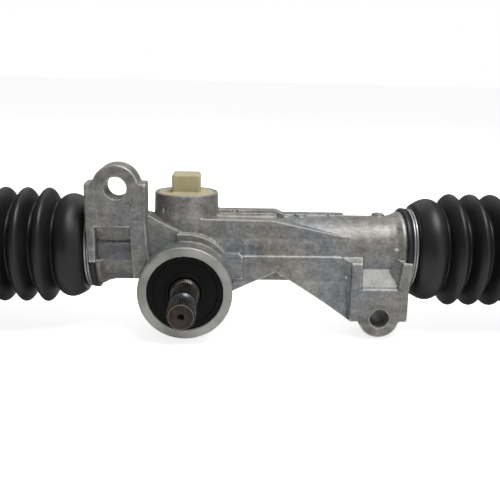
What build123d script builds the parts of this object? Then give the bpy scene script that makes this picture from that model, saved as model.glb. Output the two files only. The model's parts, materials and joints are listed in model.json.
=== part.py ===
"""Manual rack-and-pinion steering gear with boots, inner ball joints and tie rods.

Frame: millimetres, +X to the right along the rack, +Y away from the input shaft, +Z up.
The origin is the mouth of the upper mounting lug's hole, on the lugs' front face.
Sketches are placed from the crossing of the rack axis and the guide tower's axis, so
that most numbers below are measured from there: x along the rack, y back, z up.
"""

from build123d import *
import os
from math import acos, cos, pi, radians, sin, sqrt, tan

os.makedirs("parts", exist_ok=True)

# ------------------------------------------------------------------ where the axes lie
PINION_X = 31.5          # pinion and guide tower, to the right of the upper lug hole
RACK_Y = 21.0            # rack axis, behind the lugs' front face
RACK_DROP = 31.2         # rack axis, below the upper lug hole
CENTRE_DISTANCE = 15.5   # pinion axis, below the rack axis
TOWER_SHIFT = -0.5       # guide tower's axis, beside the pinion's
RUNNING_GAP = 0.05       # radial clearance of a running fit
SOFT_GAP = 0.3           # rubber to metal
FACE_GAP = 0.1           # end float between parts that turn against each other

# ------------------------------------------------------------------ gear pair
TEETH = 8
MODULE = 1.75
PRESSURE_ANGLE = 25.0
PINION_ADDENDUM = 1.5
RACK_ADDENDUM = 1.1
ROOT_CLEARANCE = 0.3
BACKLASH = 0.12          # taken off each tooth's thickness
RACK_SPACES = 25
TIP_OVERCUT = 0.2        # how far the space cutters reach past the tooth tips

# ------------------------------------------------------------------ housing
HOUSING_LEFT = -43.0     # outer faces of the two end rims
HOUSING_RIGHT = 105.0
RACK_RADIUS = 12.0
BORE_CLEARANCE = 0.45    # round the rack, away from its bush
TUBE_WALL = 4.2
RIM_HEIGHT = 2.2
RIM_WIDTH = 2.3
RIM_GROOVE_WIDTH = 0.5    # fine turned groove behind the rim
RIM_GROOVE_DEPTH = 0.4
RIM_FLARE = 6.0          # the rim runs out into the tube over this length
RIM_FLARE_KNEE = (0.4, 0.38)  # shares of its length and height where it is steepest
SPIGOT_WALL = 3.6        # the boots' cuffs fit over the spigots
SPIGOT_LENGTH = 14.0
PINION_BODY_RADIUS = 21.8
PINION_FACE_Y = -28.7
PINION_BODY_BACK_Y = 13.0
REAR_BOSS_RADIUS = 15.0
REAR_BOSS_Y = 24.0
TOWER_TOP_Z = 27.15
TOWER_TOP_RADIUS = 15.0
TOWER_FOOT_Z = -4.0
TOWER_FOOT_RADIUS = 16.0
EDGE_ROUND = 1.0         # cast edges

LUG_FRONT_Y = -RACK_Y
UPPER_LUG_THICKNESS = 13.0
LOWER_LUG_THICKNESS = 25.0
UPPER_HOLE_RADIUS = 5.05
LOWER_HOLE_RADIUS = 4.5
LOWER_HOLE_X = 92.0
LOWER_HOLE_DROP = 29.4   # below the rack axis
UPPER_EAR_RADIUS = 10.6
LOWER_EAR_RADIUS = 9.6

BLOCK_FRONT_Y = -14.1    # block on the tube, right of the tower
BLOCK_BACK_Y = -3.0
BLOCK_TOP_Z = 16.5
BLOCK_SLOPE_X = 40.8     # where its top turns down
BLOCK_FALL = 0.5
BLOCK_END_X = 80.5
BLOCK_END_Z = 7.6
GROOVE_X = (17.0, 46.0)
GROOVE_WIDTH = 1.2
GROOVE_DEPTH = 1.6
RIB_TOP_Z = 18.8
RIB_SLOPE_X = 42.7
RIB_END_X = 49.0
RIB_BACK_Y = 3.6
COLLAR_RADIUS = 24.3     # its middle lies a little above and beside the pinion's axis
COLLAR_MIDDLE = (-0.6, 1.2)
COLLAR_SPAN = (-4.2, 22.2)
COLLAR_FRONT_Y = -17.6
WEB_FRONT_Y = -16.6      # arched web under the tube
WEB_BACK_Y = -8.0
WEB_TOP_Z = -0.6
GUSSET_FRONT_Y = -16.6   # gusset between the upper lug and the tower
GUSSET_BACK_Y = -4.0
GUSSET_WIDTH = 5.0       # of the gusset behind each lug

# ------------------------------------------------------------------ pinion group
BEARING_BACK_Y = -12.6
BEARING_WIDTH = 10.0
BEARING_RADIUS = 17.5
BEARING_BORE_RADIUS = 8.5
BALL_RADIUS = 2.35
BALLS = 10
CIRCLIP_THICKNESS = 1.2
SEAL_THICKNESS = 3.4
SEAL_LIP_RADIUS = 9.4
SEAL_JOURNAL_RADIUS = 7.0
GEAR_CAVITY_RADIUS = 9.4
GEAR_BACK_Y = 11.0
REAR_JOURNAL_RADIUS = 5.5
REAR_BUSH_RADIUS = 8.4
REAR_BUSH_BACK_Y = 21.0
REAR_CAP_RADIUS = 10.5
REAR_CAP_THICKNESS = 2.0
SERRATION_RADIUS = 6.1
SERRATION_DEPTH = 0.6
SERRATIONS = 36
SHAFT_END_Y = -59.8
CLAMP_GROOVE_Y = (-51.2, -43.6)
SERRATION_BACK_Y = -29.5
CENTRE_DRILL_RADIUS = 1.5
SHAFT_END_CHAMFER = 0.8

# ------------------------------------------------------------------ rack guide group
GUIDE_BORE_RADIUS = 13.35
GUIDE_TOP_Z = 19.4
GUIDE_FOOT_Z = 2.0
LINER_THICKNESS = 0.6
LINER_HALF_ANGLE = 52.0
LINER_MARGIN = 0.4       # the liner stops short of the guide's edge
O_RING_Z = 16.6
O_RING_WIRE_RADIUS = 0.9
SPRING_RADIUS = 5.6
SPRING_WIRE_RADIUS = 0.9
SPRING_TURNS = 2.5
SPRING_SEAT_Z = 14.6
GUIDE_LIFT = 0.2         # play that the adjuster leaves above the guide
PLUG_FOOT_Z = 20.0
PLUG_POCKET_Z = 22.6
PLUG_HEAD_WIDTH = 13.3
PLUG_HEAD_DEPTH = 13.0
PLUG_HEAD_TOP_Z = 36.0

# ------------------------------------------------------------------ rack bush
BUSH_WALL = 1.5
BUSH_LENGTH = 18.0
BUSH_END_X = 113.0
SNAP_RING_WIDTH = 1.4

# ------------------------------------------------------------------ ball joints, the same on both sides
TRAVEL = 58.0            # of the rack, each way from the middle
STOP_GAP = 0.5
BUMP_STOP_LENGTH = 5.0
BUMP_STOP_WALL = 2.6
LOCK_WASHER_THICKNESS = 1.2
LOCK_WASHER_RADIUS = 13.6
SOCKET_RADIUS = 15.2
SOCKET_INNER_FACE = 18.0  # from the ball's centre back to the rack
SOCKET_LIP = 8.4          # from the ball's centre out to the rod
STUD_RADIUS = 7.0
STUD_LENGTH = 16.0
BALL_STUD_RADIUS = 10.4
SEAT_WALL = 2.0
SEAT_LIP = 5.8
MOUTH_HALF_ANGLE = 57.0
ROD_NECK_RADIUS = 5.8
ROD_NECK_END = 17.0
ROD_RADIUS = 7.5
THREAD_RADIUS = 7.0
ROD_TIP_CHAMFER = 1.5
ROD_LENGTH = 174.0
THREAD_LENGTH = 52.0
FLATS_START = 94.0
FLATS_LENGTH = 14.0
FLATS_WIDTH = 13.0
LOCK_NUT_FROM_END = 34.0
LOCK_NUT_WIDTH = 22.0
LOCK_NUT_THICKNESS = 11.0

# ------------------------------------------------------------------ boots, the same on both sides
BOOT_LENGTH = 160.0
BOOT_PEAK_RADIUS = 27.5
BOOT_VALLEY_RADIUS = 19.6
BOOT_WALL = 1.7
BARREL_RADIUS = 25.0
BARREL_PEAK = 12.0       # from the housing's rim
SHOULDER_RADIUS = 22.6   # beside the clamp
FIRST_VALLEY = 18.3
CONVOLUTIONS = 13
SMALL_END_LENGTH = 7.0
TAPER_LENGTH = 30.0      # the convolutions get smaller over this length
ROD_GROOVE_DEPTH = 0.5   # the boot's small end sits in it
CUFF_WALL = 2.7          # the cuff is thicker than the folds
CUFF_LIP = 1.6
CUFF_LIP_WIDTH = 1.2
LIP_OVERLAP = 1.6        # the cuff's lip reaches over the housing's rim
CLAMP_WIRE_RADIUS = 0.6
CLAMP_SEAT_PLAY = 0.2    # each side of the wires
CLIP_WIDTH = 5.0
CLIP_WALL = 1.0

# ------------------------------------------------------------------ worked out from the above
RACK_Z = -RACK_DROP
PINION_Z = RACK_Z - CENTRE_DISTANCE
MIDDLE_X = (HOUSING_LEFT + HOUSING_RIGHT) / 2
TUBE_RADIUS = RACK_RADIUS + TUBE_WALL
RIM_RADIUS = TUBE_RADIUS + RIM_HEIGHT
SPIGOT_RADIUS = RACK_RADIUS + SPIGOT_WALL
RACK_BORE_RADIUS = RACK_RADIUS + BORE_CLEARANCE
BUMP_STOP_RADIUS = RACK_RADIUS + BUMP_STOP_WALL
PITCH_RADIUS = MODULE * TEETH / 2
BASE_RADIUS = PITCH_RADIUS * cos(radians(PRESSURE_ANGLE))
PINION_TIP_RADIUS = PITCH_RADIUS + PINION_ADDENDUM
PINION_ROOT_RADIUS = PITCH_RADIUS - RACK_ADDENDUM - ROOT_CLEARANCE
RACK_PITCH = pi * MODULE
PITCH_LINE_Z = PITCH_RADIUS - CENTRE_DISTANCE
TOOTH_TIP_Z = PITCH_LINE_Z - RACK_ADDENDUM
TOOTH_ROOT_Z = PITCH_LINE_Z + PINION_ADDENDUM + ROOT_CLEARANCE
BEARING_FRONT_Y = BEARING_BACK_Y - BEARING_WIDTH
CIRCLIP_FRONT_Y = BEARING_FRONT_Y - FACE_GAP - CIRCLIP_THICKNESS
SEAL_FRONT_Y = CIRCLIP_FRONT_Y - FACE_GAP - SEAL_THICKNESS
HOUSING_HALF = (HOUSING_RIGHT - HOUSING_LEFT) / 2
SPIGOT_END = HOUSING_HALF + SPIGOT_LENGTH                 # outwards from the middle
BALL_CENTRE = (SPIGOT_END + STOP_GAP + TRAVEL + BUMP_STOP_LENGTH
               + LOCK_WASHER_THICKNESS + SOCKET_INNER_FACE)
RACK_END = BALL_CENTRE - SOCKET_INNER_FACE - LOCK_WASHER_THICKNESS
SEAT_RADIUS = BALL_STUD_RADIUS + RUNNING_GAP + SEAT_WALL
CAVITY_RADIUS = SEAT_RADIUS + RUNNING_GAP
CUFF_BORE_RADIUS = SPIGOT_RADIUS + SOFT_GAP
CUFF_RADIUS = CUFF_BORE_RADIUS + CUFF_WALL
CLAMP_RADIUS = CUFF_RADIUS + SOFT_GAP / 3 + CLAMP_WIRE_RADIUS
BOOT_END = HOUSING_HALF + BOOT_LENGTH
SMALL_END_BORE = ROD_RADIUS - ROD_GROOVE_DEPTH + SOFT_GAP
SMALL_END_RADIUS = SMALL_END_BORE + BOOT_WALL
CUFF_START = HOUSING_HALF + SOFT_GAP
CLAMP_SEAT = CUFF_START + CUFF_LIP_WIDTH + CLAMP_SEAT_PLAY
CLAMP_SEAT_WIDTH = 4 * CLAMP_WIRE_RADIUS + 2 * CLAMP_SEAT_PLAY
RELIEF_RADIUS = CUFF_RADIUS + CUFF_LIP + SOFT_GAP

CROSSING = Vector(PINION_X, RACK_Y, RACK_Z)
FRONT = Plane(CROSSING, x_dir=(1, 0, 0), z_dir=(0, -1, 0))
TOWER_POINT = CROSSING + Vector(TOWER_SHIFT, 0, 0)
LEVEL = Plane(TOWER_POINT, x_dir=(1, 0, 0), z_dir=(0, 0, 1))
TOWER_FRONT = Plane(TOWER_POINT, x_dir=(1, 0, 0), z_dir=(0, -1, 0))
SECTION = Plane(CROSSING, x_dir=(0, 1, 0), z_dir=(1, 0, 0))
PINION_SIDE = Plane((PINION_X, RACK_Y, PINION_Z), x_dir=(0, 1, 0), z_dir=(1, 0, 0))
RACK_AXIS = Axis(CROSSING, (1, 0, 0))
TOWER_AXIS = Axis(TOWER_POINT, (0, 0, 1))
PINION_AXIS = Axis((PINION_X, RACK_Y, PINION_Z), (0, 1, 0))


def front_at(y):
    """The plane that faces forwards at y; its local axes are x and z."""
    return FRONT.offset(-y)


def outline(plane, *points):
    """A face bounded by straight lines through the points."""
    with BuildSketch(plane) as face:
        with BuildLine():
            Polyline(*points, close=True)
        make_face()
    return face.sketch


def disc(plane, radius, at=(0, 0)):
    """A round face."""
    with BuildSketch(plane) as face:
        with Locations(at):
            Circle(radius)
    return face.sketch


def ring(plane, outer, inner, at=(0, 0)):
    """A flat ring."""
    with BuildSketch(plane) as face:
        with Locations(at):
            Circle(outer)
            Circle(inner, mode=Mode.SUBTRACT)
    return face.sketch


def outwards(side, distance):
    """Local x of a place that lies this far from the housing's middle, to the left (-1) or right (1)."""
    return MIDDLE_X + side * distance


def side_outline(side, *points):
    """A face on FRONT from (distance from the middle, height) points."""
    return outline(FRONT, *[(outwards(side, d), r) for d, r in points])


def save(piece, name):
    """Label a finished piece and write its file."""
    piece.label = name
    export_step(piece, f"parts/{name}.step")


# ================================================================== housing
def make_lug(pad, hole, ear_radius, ribs, thickness):
    """A lug: a pad with a round ear, and two ribs that run from it into the tube.

    Each rib is given by its four corners on the front and by the four where it meets the tube: first
    the two inside the pad, then the two at its foot, from left to right and back.
    """
    low, high = pad
    middle_z = (low[1] + high[1]) / 2
    with BuildPart() as lug:
        with BuildSketch(front_at(LUG_FRONT_Y)):
            with Locations(((low[0] + high[0]) / 2, middle_z)):
                Rectangle(high[0] - low[0], high[1] - low[1])
            with Locations(hole):
                Circle(ear_radius)
        extrude(amount=-thickness)
        for front, _ in ribs:
            extrude(outline(front_at(LUG_FRONT_Y), *front), amount=-RIB_LIP)
        fillet(lug.faces().sort_by(Axis.Y)[0].edges(), EDGE_ROUND)
        for front, back in ribs:
            foot = outline(front_at(RIB_FOOT_Y), *back)
            loft([outline(front_at(LUG_FRONT_Y + RIB_LIP), *front), foot], ruled=True)
            extrude(foot, amount=RIB_FOOT_Y)
    return lug.part


UPPER_HOLE = (-PINION_X, RACK_DROP)
LOWER_HOLE = (LOWER_HOLE_X, -LOWER_HOLE_DROP)
UPPER_PAD = ((-45.5, 13.7), (-18.0, 33.2))
LOWER_PAD = ((77.5, -31.1), (105.4, -15.1))
UPPER_RIBS = (
    (((-45.5, 14.7), (-41.0, 14.7), (-41.2, -3.3), (-44.5, -3.3)),
     ((-45.5, 14.7), (-38.6, 14.7), (-38.8, -2.8), (-44.5, -2.8))),
    (((-25.6, 14.7), (-18.0, 14.7), (-16.5, -10.5), (-24.2, -10.5)),
     ((-25.8, 14.7), (-18.0, 14.7), (-16.5, -10.5), (-24.4, -10.5))),
)
LOWER_RIBS = (
    (((77.5, -31.1), (82.8, -31.1), (82.7, -2.2), (77.5, -2.2)),
     ((77.2, -31.1), (83.4, -31.1), (83.5, -0.5), (72.8, -0.5))),
    (((99.9, -16.1), (105.4, -16.1), (106.4, -1.9), (101.7, -1.9)),
     ((96.0, -16.1), (104.0, -16.1), (104.7, -0.2), (97.5, -0.2))),
)
RIB_LIP = 1.5            # depth of the ribs' square fronts, before their drafted sides
RIB_FOOT_Y = -16.2       # where the ribs meet the tube
WINDOW_STEP = 0.8        # the windows' floors start this far behind the front
UPPER_WINDOW_FOOT = (-15.65, 3.4)
LOWER_WINDOW_FOOT = (-15.2, -6.2)
WEB_ARCH = ((22.0, -17.6), (41.2, -8.6), (42.4, -8.3), (43.5, -9.0), (60.0, -19.4), (78.4, -32.0))
STEP_BLOCK = ((12.0, -11.2), (26.5, -0.6))
STEP_FRONT_Y = -18.4
WINDOW_REACH_Y = -8.0    # how far back the windows' sloping floors go
SPOT_RADIUS = 2.9        # machined spot on top of the tube's right end
SPOT_MIDDLE = (93.7, 2.0)
SPOT_HEIGHT = 1.1        # above the tube

upper_lug = make_lug(UPPER_PAD, UPPER_HOLE, UPPER_EAR_RADIUS, UPPER_RIBS, UPPER_LUG_THICKNESS)
lower_lug = make_lug(LOWER_PAD, LOWER_HOLE, LOWER_EAR_RADIUS, LOWER_RIBS, LOWER_LUG_THICKNESS)
knee_length = RIM_FLARE * RIM_FLARE_KNEE[0]
knee_radius = TUBE_RADIUS + RIM_HEIGHT * RIM_FLARE_KNEE[1]
flare_start = RIM_WIDTH + RIM_GROOVE_WIDTH
rim = ((0, RIM_RADIUS), (RIM_WIDTH, RIM_RADIUS), (RIM_WIDTH, RIM_RADIUS - RIM_GROOVE_DEPTH),
       (flare_start, RIM_RADIUS - RIM_GROOVE_DEPTH), (flare_start, RIM_RADIUS),
       (flare_start + knee_length, knee_radius), (flare_start + RIM_FLARE, TUBE_RADIUS))

with BuildPart() as housing:
    revolve(outline(
        FRONT,
        (HOUSING_LEFT - SPIGOT_LENGTH, 0),
        (HOUSING_LEFT - SPIGOT_LENGTH, SPIGOT_RADIUS),
        (HOUSING_LEFT, SPIGOT_RADIUS),
        *[(HOUSING_LEFT + inwards, radius) for inwards, radius in rim],
        *[(HOUSING_RIGHT - inwards, radius) for inwards, radius in reversed(rim)],
        (HOUSING_RIGHT, SPIGOT_RADIUS),
        (HOUSING_RIGHT + SPIGOT_LENGTH, SPIGOT_RADIUS),
        (HOUSING_RIGHT + SPIGOT_LENGTH, 0),
    ), axis=RACK_AXIS)
    # pinion housing and the smaller boss behind it
    extrude(disc(front_at(PINION_FACE_Y), PINION_BODY_RADIUS, (0, -CENTRE_DISTANCE)),
            amount=PINION_FACE_Y - PINION_BODY_BACK_Y)
    extrude(disc(front_at(PINION_BODY_BACK_Y), REAR_BOSS_RADIUS, (0, -CENTRE_DISTANCE)),
            amount=PINION_BODY_BACK_Y - REAR_BOSS_Y)
    # collar that carries the pinion housing into the web, up and to the right
    with BuildSketch(front_at(COLLAR_FRONT_Y)):
        with Locations((COLLAR_MIDDLE[0], COLLAR_MIDDLE[1] - CENTRE_DISTANCE)):
            Circle(COLLAR_RADIUS)
        with Locations((COLLAR_SPAN[0], -CENTRE_DISTANCE)):
            Rectangle(COLLAR_SPAN[1] - COLLAR_SPAN[0], 2 * COLLAR_RADIUS, align=(Align.MIN, Align.MIN),
                      mode=Mode.INTERSECT)
    extrude(amount=COLLAR_FRONT_Y - WEB_BACK_Y)
    # guide tower, drafted from its foot
    revolve(outline(TOWER_FRONT, (0, TOWER_FOOT_Z), (TOWER_FOOT_RADIUS, TOWER_FOOT_Z),
                    (TOWER_TOP_RADIUS, TOWER_TOP_Z), (0, TOWER_TOP_Z)),
            axis=TOWER_AXIS)
    # block and raised rib on top of the tube
    extrude(outline(front_at(BLOCK_FRONT_Y), (2, 0), (2, BLOCK_TOP_Z),
                    (BLOCK_SLOPE_X, BLOCK_TOP_Z - BLOCK_FALL), (BLOCK_END_X, BLOCK_END_Z),
                    (BLOCK_END_X, 0)), amount=BLOCK_FRONT_Y - BLOCK_BACK_Y)
    extrude(outline(front_at(BLOCK_BACK_Y), (2, 0), (2, RIB_TOP_Z), (RIB_SLOPE_X, RIB_TOP_Z),
                    (RIB_END_X, TUBE_RADIUS - 0.4), (RIB_END_X, 0)), amount=BLOCK_BACK_Y - RIB_BACK_Y)
    # fine groove where the block meets the rib
    extrude(outline(SECTION.offset(GROOVE_X[0]), (BLOCK_BACK_Y - GROOVE_WIDTH, BLOCK_TOP_Z + 1),
                    (BLOCK_BACK_Y, BLOCK_TOP_Z + 1), (BLOCK_BACK_Y, BLOCK_TOP_Z - GROOVE_DEPTH),
                    (BLOCK_BACK_Y - GROOVE_WIDTH, BLOCK_TOP_Z - GROOVE_DEPTH)),
            amount=GROOVE_X[1] - GROOVE_X[0], mode=Mode.SUBTRACT)
    # arched web and the step beside the pinion housing
    with BuildSketch(front_at(WEB_FRONT_Y)) as web:
        with BuildLine():
            Polyline(WEB_ARCH[1], WEB_ARCH[0], (10, -20), (10, WEB_TOP_Z), (WEB_ARCH[5][0] + 4, WEB_TOP_Z),
                     (WEB_ARCH[5][0] + 4, WEB_ARCH[5][1]), WEB_ARCH[5])
            ThreePointArc(WEB_ARCH[5], WEB_ARCH[4], WEB_ARCH[3])
            ThreePointArc(WEB_ARCH[3], WEB_ARCH[2], WEB_ARCH[1])
        make_face()
    extrude(amount=WEB_FRONT_Y - WEB_BACK_Y)
    extrude(outline(front_at(STEP_FRONT_Y), STEP_BLOCK[0], (STEP_BLOCK[1][0], STEP_BLOCK[0][1]),
                    STEP_BLOCK[1], (STEP_BLOCK[0][0], STEP_BLOCK[1][1])),
            amount=STEP_FRONT_Y - WEB_BACK_Y)
    # gusset between the upper lug and the tower
    extrude(outline(front_at(GUSSET_FRONT_Y), (-20, -14), (-20, 18.2), (-16.7, 18.0), (-7.4, 13.0),
                    (1.4, 8.4), (1.4, -14)), amount=GUSSET_FRONT_Y - GUSSET_BACK_Y)
    # lugs, the floors of their windows and a gusset behind each
    add(upper_lug)
    add(lower_lug)
    # sloping floors of the two windows, between pad and tube
    for ribs, edge_z, (foot_y, floor_z) in ((UPPER_RIBS, UPPER_PAD[0][1], UPPER_WINDOW_FOOT),
                                            (LOWER_RIBS, LOWER_PAD[1][1], LOWER_WINDOW_FOOT)):
        left, right = (front[0][0] + 1 for front, _ in ribs)
        into_pad = edge_z + (6 if edge_z > 0 else -6)
        extrude(outline(SECTION.offset(left), (LUG_FRONT_Y + WINDOW_STEP, edge_z), (foot_y, floor_z),
                        (WINDOW_REACH_Y, floor_z), (WINDOW_REACH_Y, into_pad),
                        (LUG_FRONT_Y + WINDOW_STEP, into_pad)), amount=right - left)
    for hole, hole_radius, thickness, turn in ((UPPER_HOLE, UPPER_HOLE_RADIUS, UPPER_LUG_THICKNESS, 1),
                                               (LOWER_HOLE, LOWER_HOLE_RADIUS, LOWER_LUG_THICKNESS, -1)):
        tip = abs(hole[1]) - hole_radius - 1.5
        back = LUG_FRONT_Y + thickness
        extrude(outline(SECTION.offset(hole[0] - GUSSET_WIDTH / 2),
                        (back - 1, turn * tip), (back, turn * tip),
                        (max(back, 0) + 7.5, turn * 12.5), (0, 0), (back - 1, 0)), amount=GUSSET_WIDTH)
    # machined pad on the tube's right end
    extrude(disc(LEVEL, SPOT_RADIUS, SPOT_MIDDLE), amount=TUBE_RADIUS + SPOT_HEIGHT)
    # the pinion housing's front edge is rounded before the bores are machined
    fillet(housing.edges().filter_by(GeomType.CIRCLE).group_by(Axis.Y)[0], EDGE_ROUND)

    # turned relief round each spigot and rim, where the boot's cuff and its lip lie
    for side, face in ((-1, HOUSING_LEFT), (1, HOUSING_RIGHT)):
        extrude(ring(SECTION.offset(face), RELIEF_RADIUS, RIM_RADIUS), amount=-side * LIP_OVERLAP,
                mode=Mode.SUBTRACT)
        extrude(ring(SECTION.offset(face), RELIEF_RADIUS, SPIGOT_RADIUS), amount=side * SPIGOT_LENGTH,
                mode=Mode.SUBTRACT)
    # rack bore, with the bush's pocket and the snap ring's groove at the right
    extrude(disc(SECTION.offset(HOUSING_LEFT - SPIGOT_LENGTH), RACK_BORE_RADIUS),
            amount=HOUSING_RIGHT - HOUSING_LEFT + 2 * SPIGOT_LENGTH, mode=Mode.SUBTRACT)
    extrude(disc(SECTION.offset(HOUSING_RIGHT + SPIGOT_LENGTH), RACK_RADIUS + RUNNING_GAP + BUSH_WALL),
            amount=BUSH_END_X - BUSH_LENGTH - HOUSING_RIGHT - SPIGOT_LENGTH, mode=Mode.SUBTRACT)
    extrude(disc(SECTION.offset(BUSH_END_X + FACE_GAP), RACK_RADIUS + RUNNING_GAP + BUSH_WALL + 0.6),
            amount=SNAP_RING_WIDTH + FACE_GAP, mode=Mode.SUBTRACT)
    # pinion bores, from the front
    at_pinion = (0, -CENTRE_DISTANCE)
    extrude(disc(front_at(PINION_FACE_Y), BEARING_RADIUS, at_pinion),
            amount=PINION_FACE_Y - BEARING_BACK_Y, mode=Mode.SUBTRACT)
    extrude(disc(front_at(CIRCLIP_FRONT_Y - FACE_GAP / 2), BEARING_RADIUS + 0.9, at_pinion),
            amount=-CIRCLIP_THICKNESS - FACE_GAP, mode=Mode.SUBTRACT)
    extrude(disc(front_at(BEARING_BACK_Y), GEAR_CAVITY_RADIUS, at_pinion),
            amount=BEARING_BACK_Y - GEAR_BACK_Y - 0.5, mode=Mode.SUBTRACT)
    extrude(disc(front_at(GEAR_BACK_Y), REAR_BUSH_RADIUS, at_pinion),
            amount=GEAR_BACK_Y - REAR_BOSS_Y, mode=Mode.SUBTRACT)
    extrude(disc(front_at(REAR_BOSS_Y), REAR_CAP_RADIUS, at_pinion),
            amount=REAR_CAP_THICKNESS + 0.5, mode=Mode.SUBTRACT)
    # guide bore, from the top
    extrude(disc(LEVEL.offset(TOWER_TOP_Z), GUIDE_BORE_RADIUS), amount=-TOWER_TOP_Z, mode=Mode.SUBTRACT)
    # lug holes
    for hole, hole_radius in ((UPPER_HOLE, UPPER_HOLE_RADIUS), (LOWER_HOLE, LOWER_HOLE_RADIUS)):
        extrude(disc(front_at(LUG_FRONT_Y), hole_radius, hole), amount=-LOWER_LUG_THICKNESS - 10,
                mode=Mode.SUBTRACT)
save(housing.part, "housing")

# ================================================================== rack bar and bush
with BuildPart() as rack_bar:
    extrude(disc(SECTION.offset(outwards(-1, RACK_END)), RACK_RADIUS), amount=2 * RACK_END)
    chamfer(rack_bar.edges().filter_by(GeomType.CIRCLE), 0.8)
    # tooth spaces, cut across the underside, and the land that their tips leave
    land = RACK_SPACES * RACK_PITCH
    with BuildSketch(front_at(-RACK_RADIUS - 1)) as spaces:
        with Locations((0, TOOTH_TIP_Z - RACK_RADIUS)):
            Rectangle(land, 2 * RACK_RADIUS)
        half_pitch_line = RACK_PITCH / 4 + BACKLASH / 2
        slope = tan(radians(PRESSURE_ANGLE))
        half_root = half_pitch_line - (TOOTH_ROOT_Z - PITCH_LINE_Z) * slope
        half_tip = half_pitch_line + (PITCH_LINE_Z - TOOTH_TIP_Z + TIP_OVERCUT) * slope
        with GridLocations(RACK_PITCH, 1, RACK_SPACES, 1):
            Polygon((-half_root, TOOTH_ROOT_Z), (half_root, TOOTH_ROOT_Z),
                    (half_tip, TOOTH_TIP_Z - TIP_OVERCUT),
                    (-half_tip, TOOTH_TIP_Z - TIP_OVERCUT), align=None)
    extrude(amount=-2 * RACK_RADIUS - 2, mode=Mode.SUBTRACT)
    # threaded sockets for the ball joints' studs
    for side in (-1, 1):
        extrude(disc(SECTION.offset(outwards(side, RACK_END)), STUD_RADIUS + RUNNING_GAP),
                amount=-side * (STUD_LENGTH + 1), mode=Mode.SUBTRACT)
save(rack_bar.part, "rack_bar")

with BuildPart() as rack_bush:
    bush_inner = RACK_RADIUS + RUNNING_GAP
    extrude(ring(SECTION.offset(BUSH_END_X), bush_inner + BUSH_WALL, bush_inner), amount=-BUSH_LENGTH)
    # grease slots
    with BuildSketch(SECTION.offset(BUSH_END_X)):
        with PolarLocations(bush_inner, 3, start_angle=30):
            Rectangle(1.2, 2.4)
    extrude(amount=-BUSH_LENGTH * 0.7, mode=Mode.SUBTRACT)
save(rack_bush.part, "rack_bush")

with BuildPart() as bush_snap_ring:
    groove = RACK_RADIUS + RUNNING_GAP + BUSH_WALL + 0.6
    extrude(ring(SECTION.offset(BUSH_END_X + FACE_GAP), groove - 0.05, groove - 1.5), amount=SNAP_RING_WIDTH)
    with BuildSketch(SECTION.offset(BUSH_END_X)):
        with Locations((0, groove)):
            Rectangle(5, 6)
    extrude(amount=SNAP_RING_WIDTH * 2, mode=Mode.SUBTRACT)
save(bush_snap_ring.part, "bush_snap_ring")


# ================================================================== pinion group
def involute(radius):
    """Polar angle that an involute from the base circle has gained at this radius."""
    angle = acos(min(1.0, BASE_RADIUS / radius))
    return tan(angle) - angle


def gear_face(plane):
    """The pinion's section: involute flanks over radial roots, with a tooth on +Z."""
    half_at_pitch = (RACK_PITCH / 2 - BACKLASH) / 2 / PITCH_RADIUS
    half_at_base = half_at_pitch + involute(PITCH_RADIUS)

    def point(radius, angle):
        return (radius * sin(angle), radius * cos(angle))

    steps = 6
    radii = [BASE_RADIUS + (PINION_TIP_RADIUS - BASE_RADIUS) * i / steps for i in range(steps + 1)]
    with BuildSketch(plane) as face:
        for tooth in range(TEETH):
            mid = 2 * pi * tooth / TEETH
            end = mid + pi / TEETH
            rising = [point(r, mid - half_at_base + involute(r)) for r in radii]
            falling = [point(r, mid + half_at_base - involute(r)) for r in reversed(radii)]
            with BuildLine():
                Line((0, 0), point(PINION_ROOT_RADIUS, mid - pi / TEETH))
                ThreePointArc(point(PINION_ROOT_RADIUS, mid - pi / TEETH),
                              point(PINION_ROOT_RADIUS, mid - (pi / TEETH + half_at_base) / 2),
                              point(PINION_ROOT_RADIUS, mid - half_at_base))
                Line(point(PINION_ROOT_RADIUS, mid - half_at_base), rising[0])
                Spline(*rising)
                ThreePointArc(rising[-1], point(PINION_TIP_RADIUS, mid), falling[0])
                Spline(*falling)
                Line(falling[-1], point(PINION_ROOT_RADIUS, mid + half_at_base))
                ThreePointArc(point(PINION_ROOT_RADIUS, mid + half_at_base),
                              point(PINION_ROOT_RADIUS, mid + (pi / TEETH + half_at_base) / 2),
                              point(PINION_ROOT_RADIUS, end))
                Line(point(PINION_ROOT_RADIUS, end), (0, 0))
            make_face()
    return face.sketch


def serrated_face(plane):
    """The input shaft's end section, a circle cut by V serrations."""
    corners = []
    for tooth in range(SERRATIONS):
        for angle, radius in ((0.0, SERRATION_RADIUS), (0.5, SERRATION_RADIUS - SERRATION_DEPTH)):
            turn = 2 * pi * (tooth + angle) / SERRATIONS
            corners.append((radius * cos(turn), radius * sin(turn)))
    return outline(plane, *corners)


def pinion_plane(y):
    """The plane square to the pinion at y, facing forwards."""
    return Plane((PINION_X, RACK_Y + y, PINION_Z), x_dir=(1, 0, 0), z_dir=(0, -1, 0))


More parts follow.
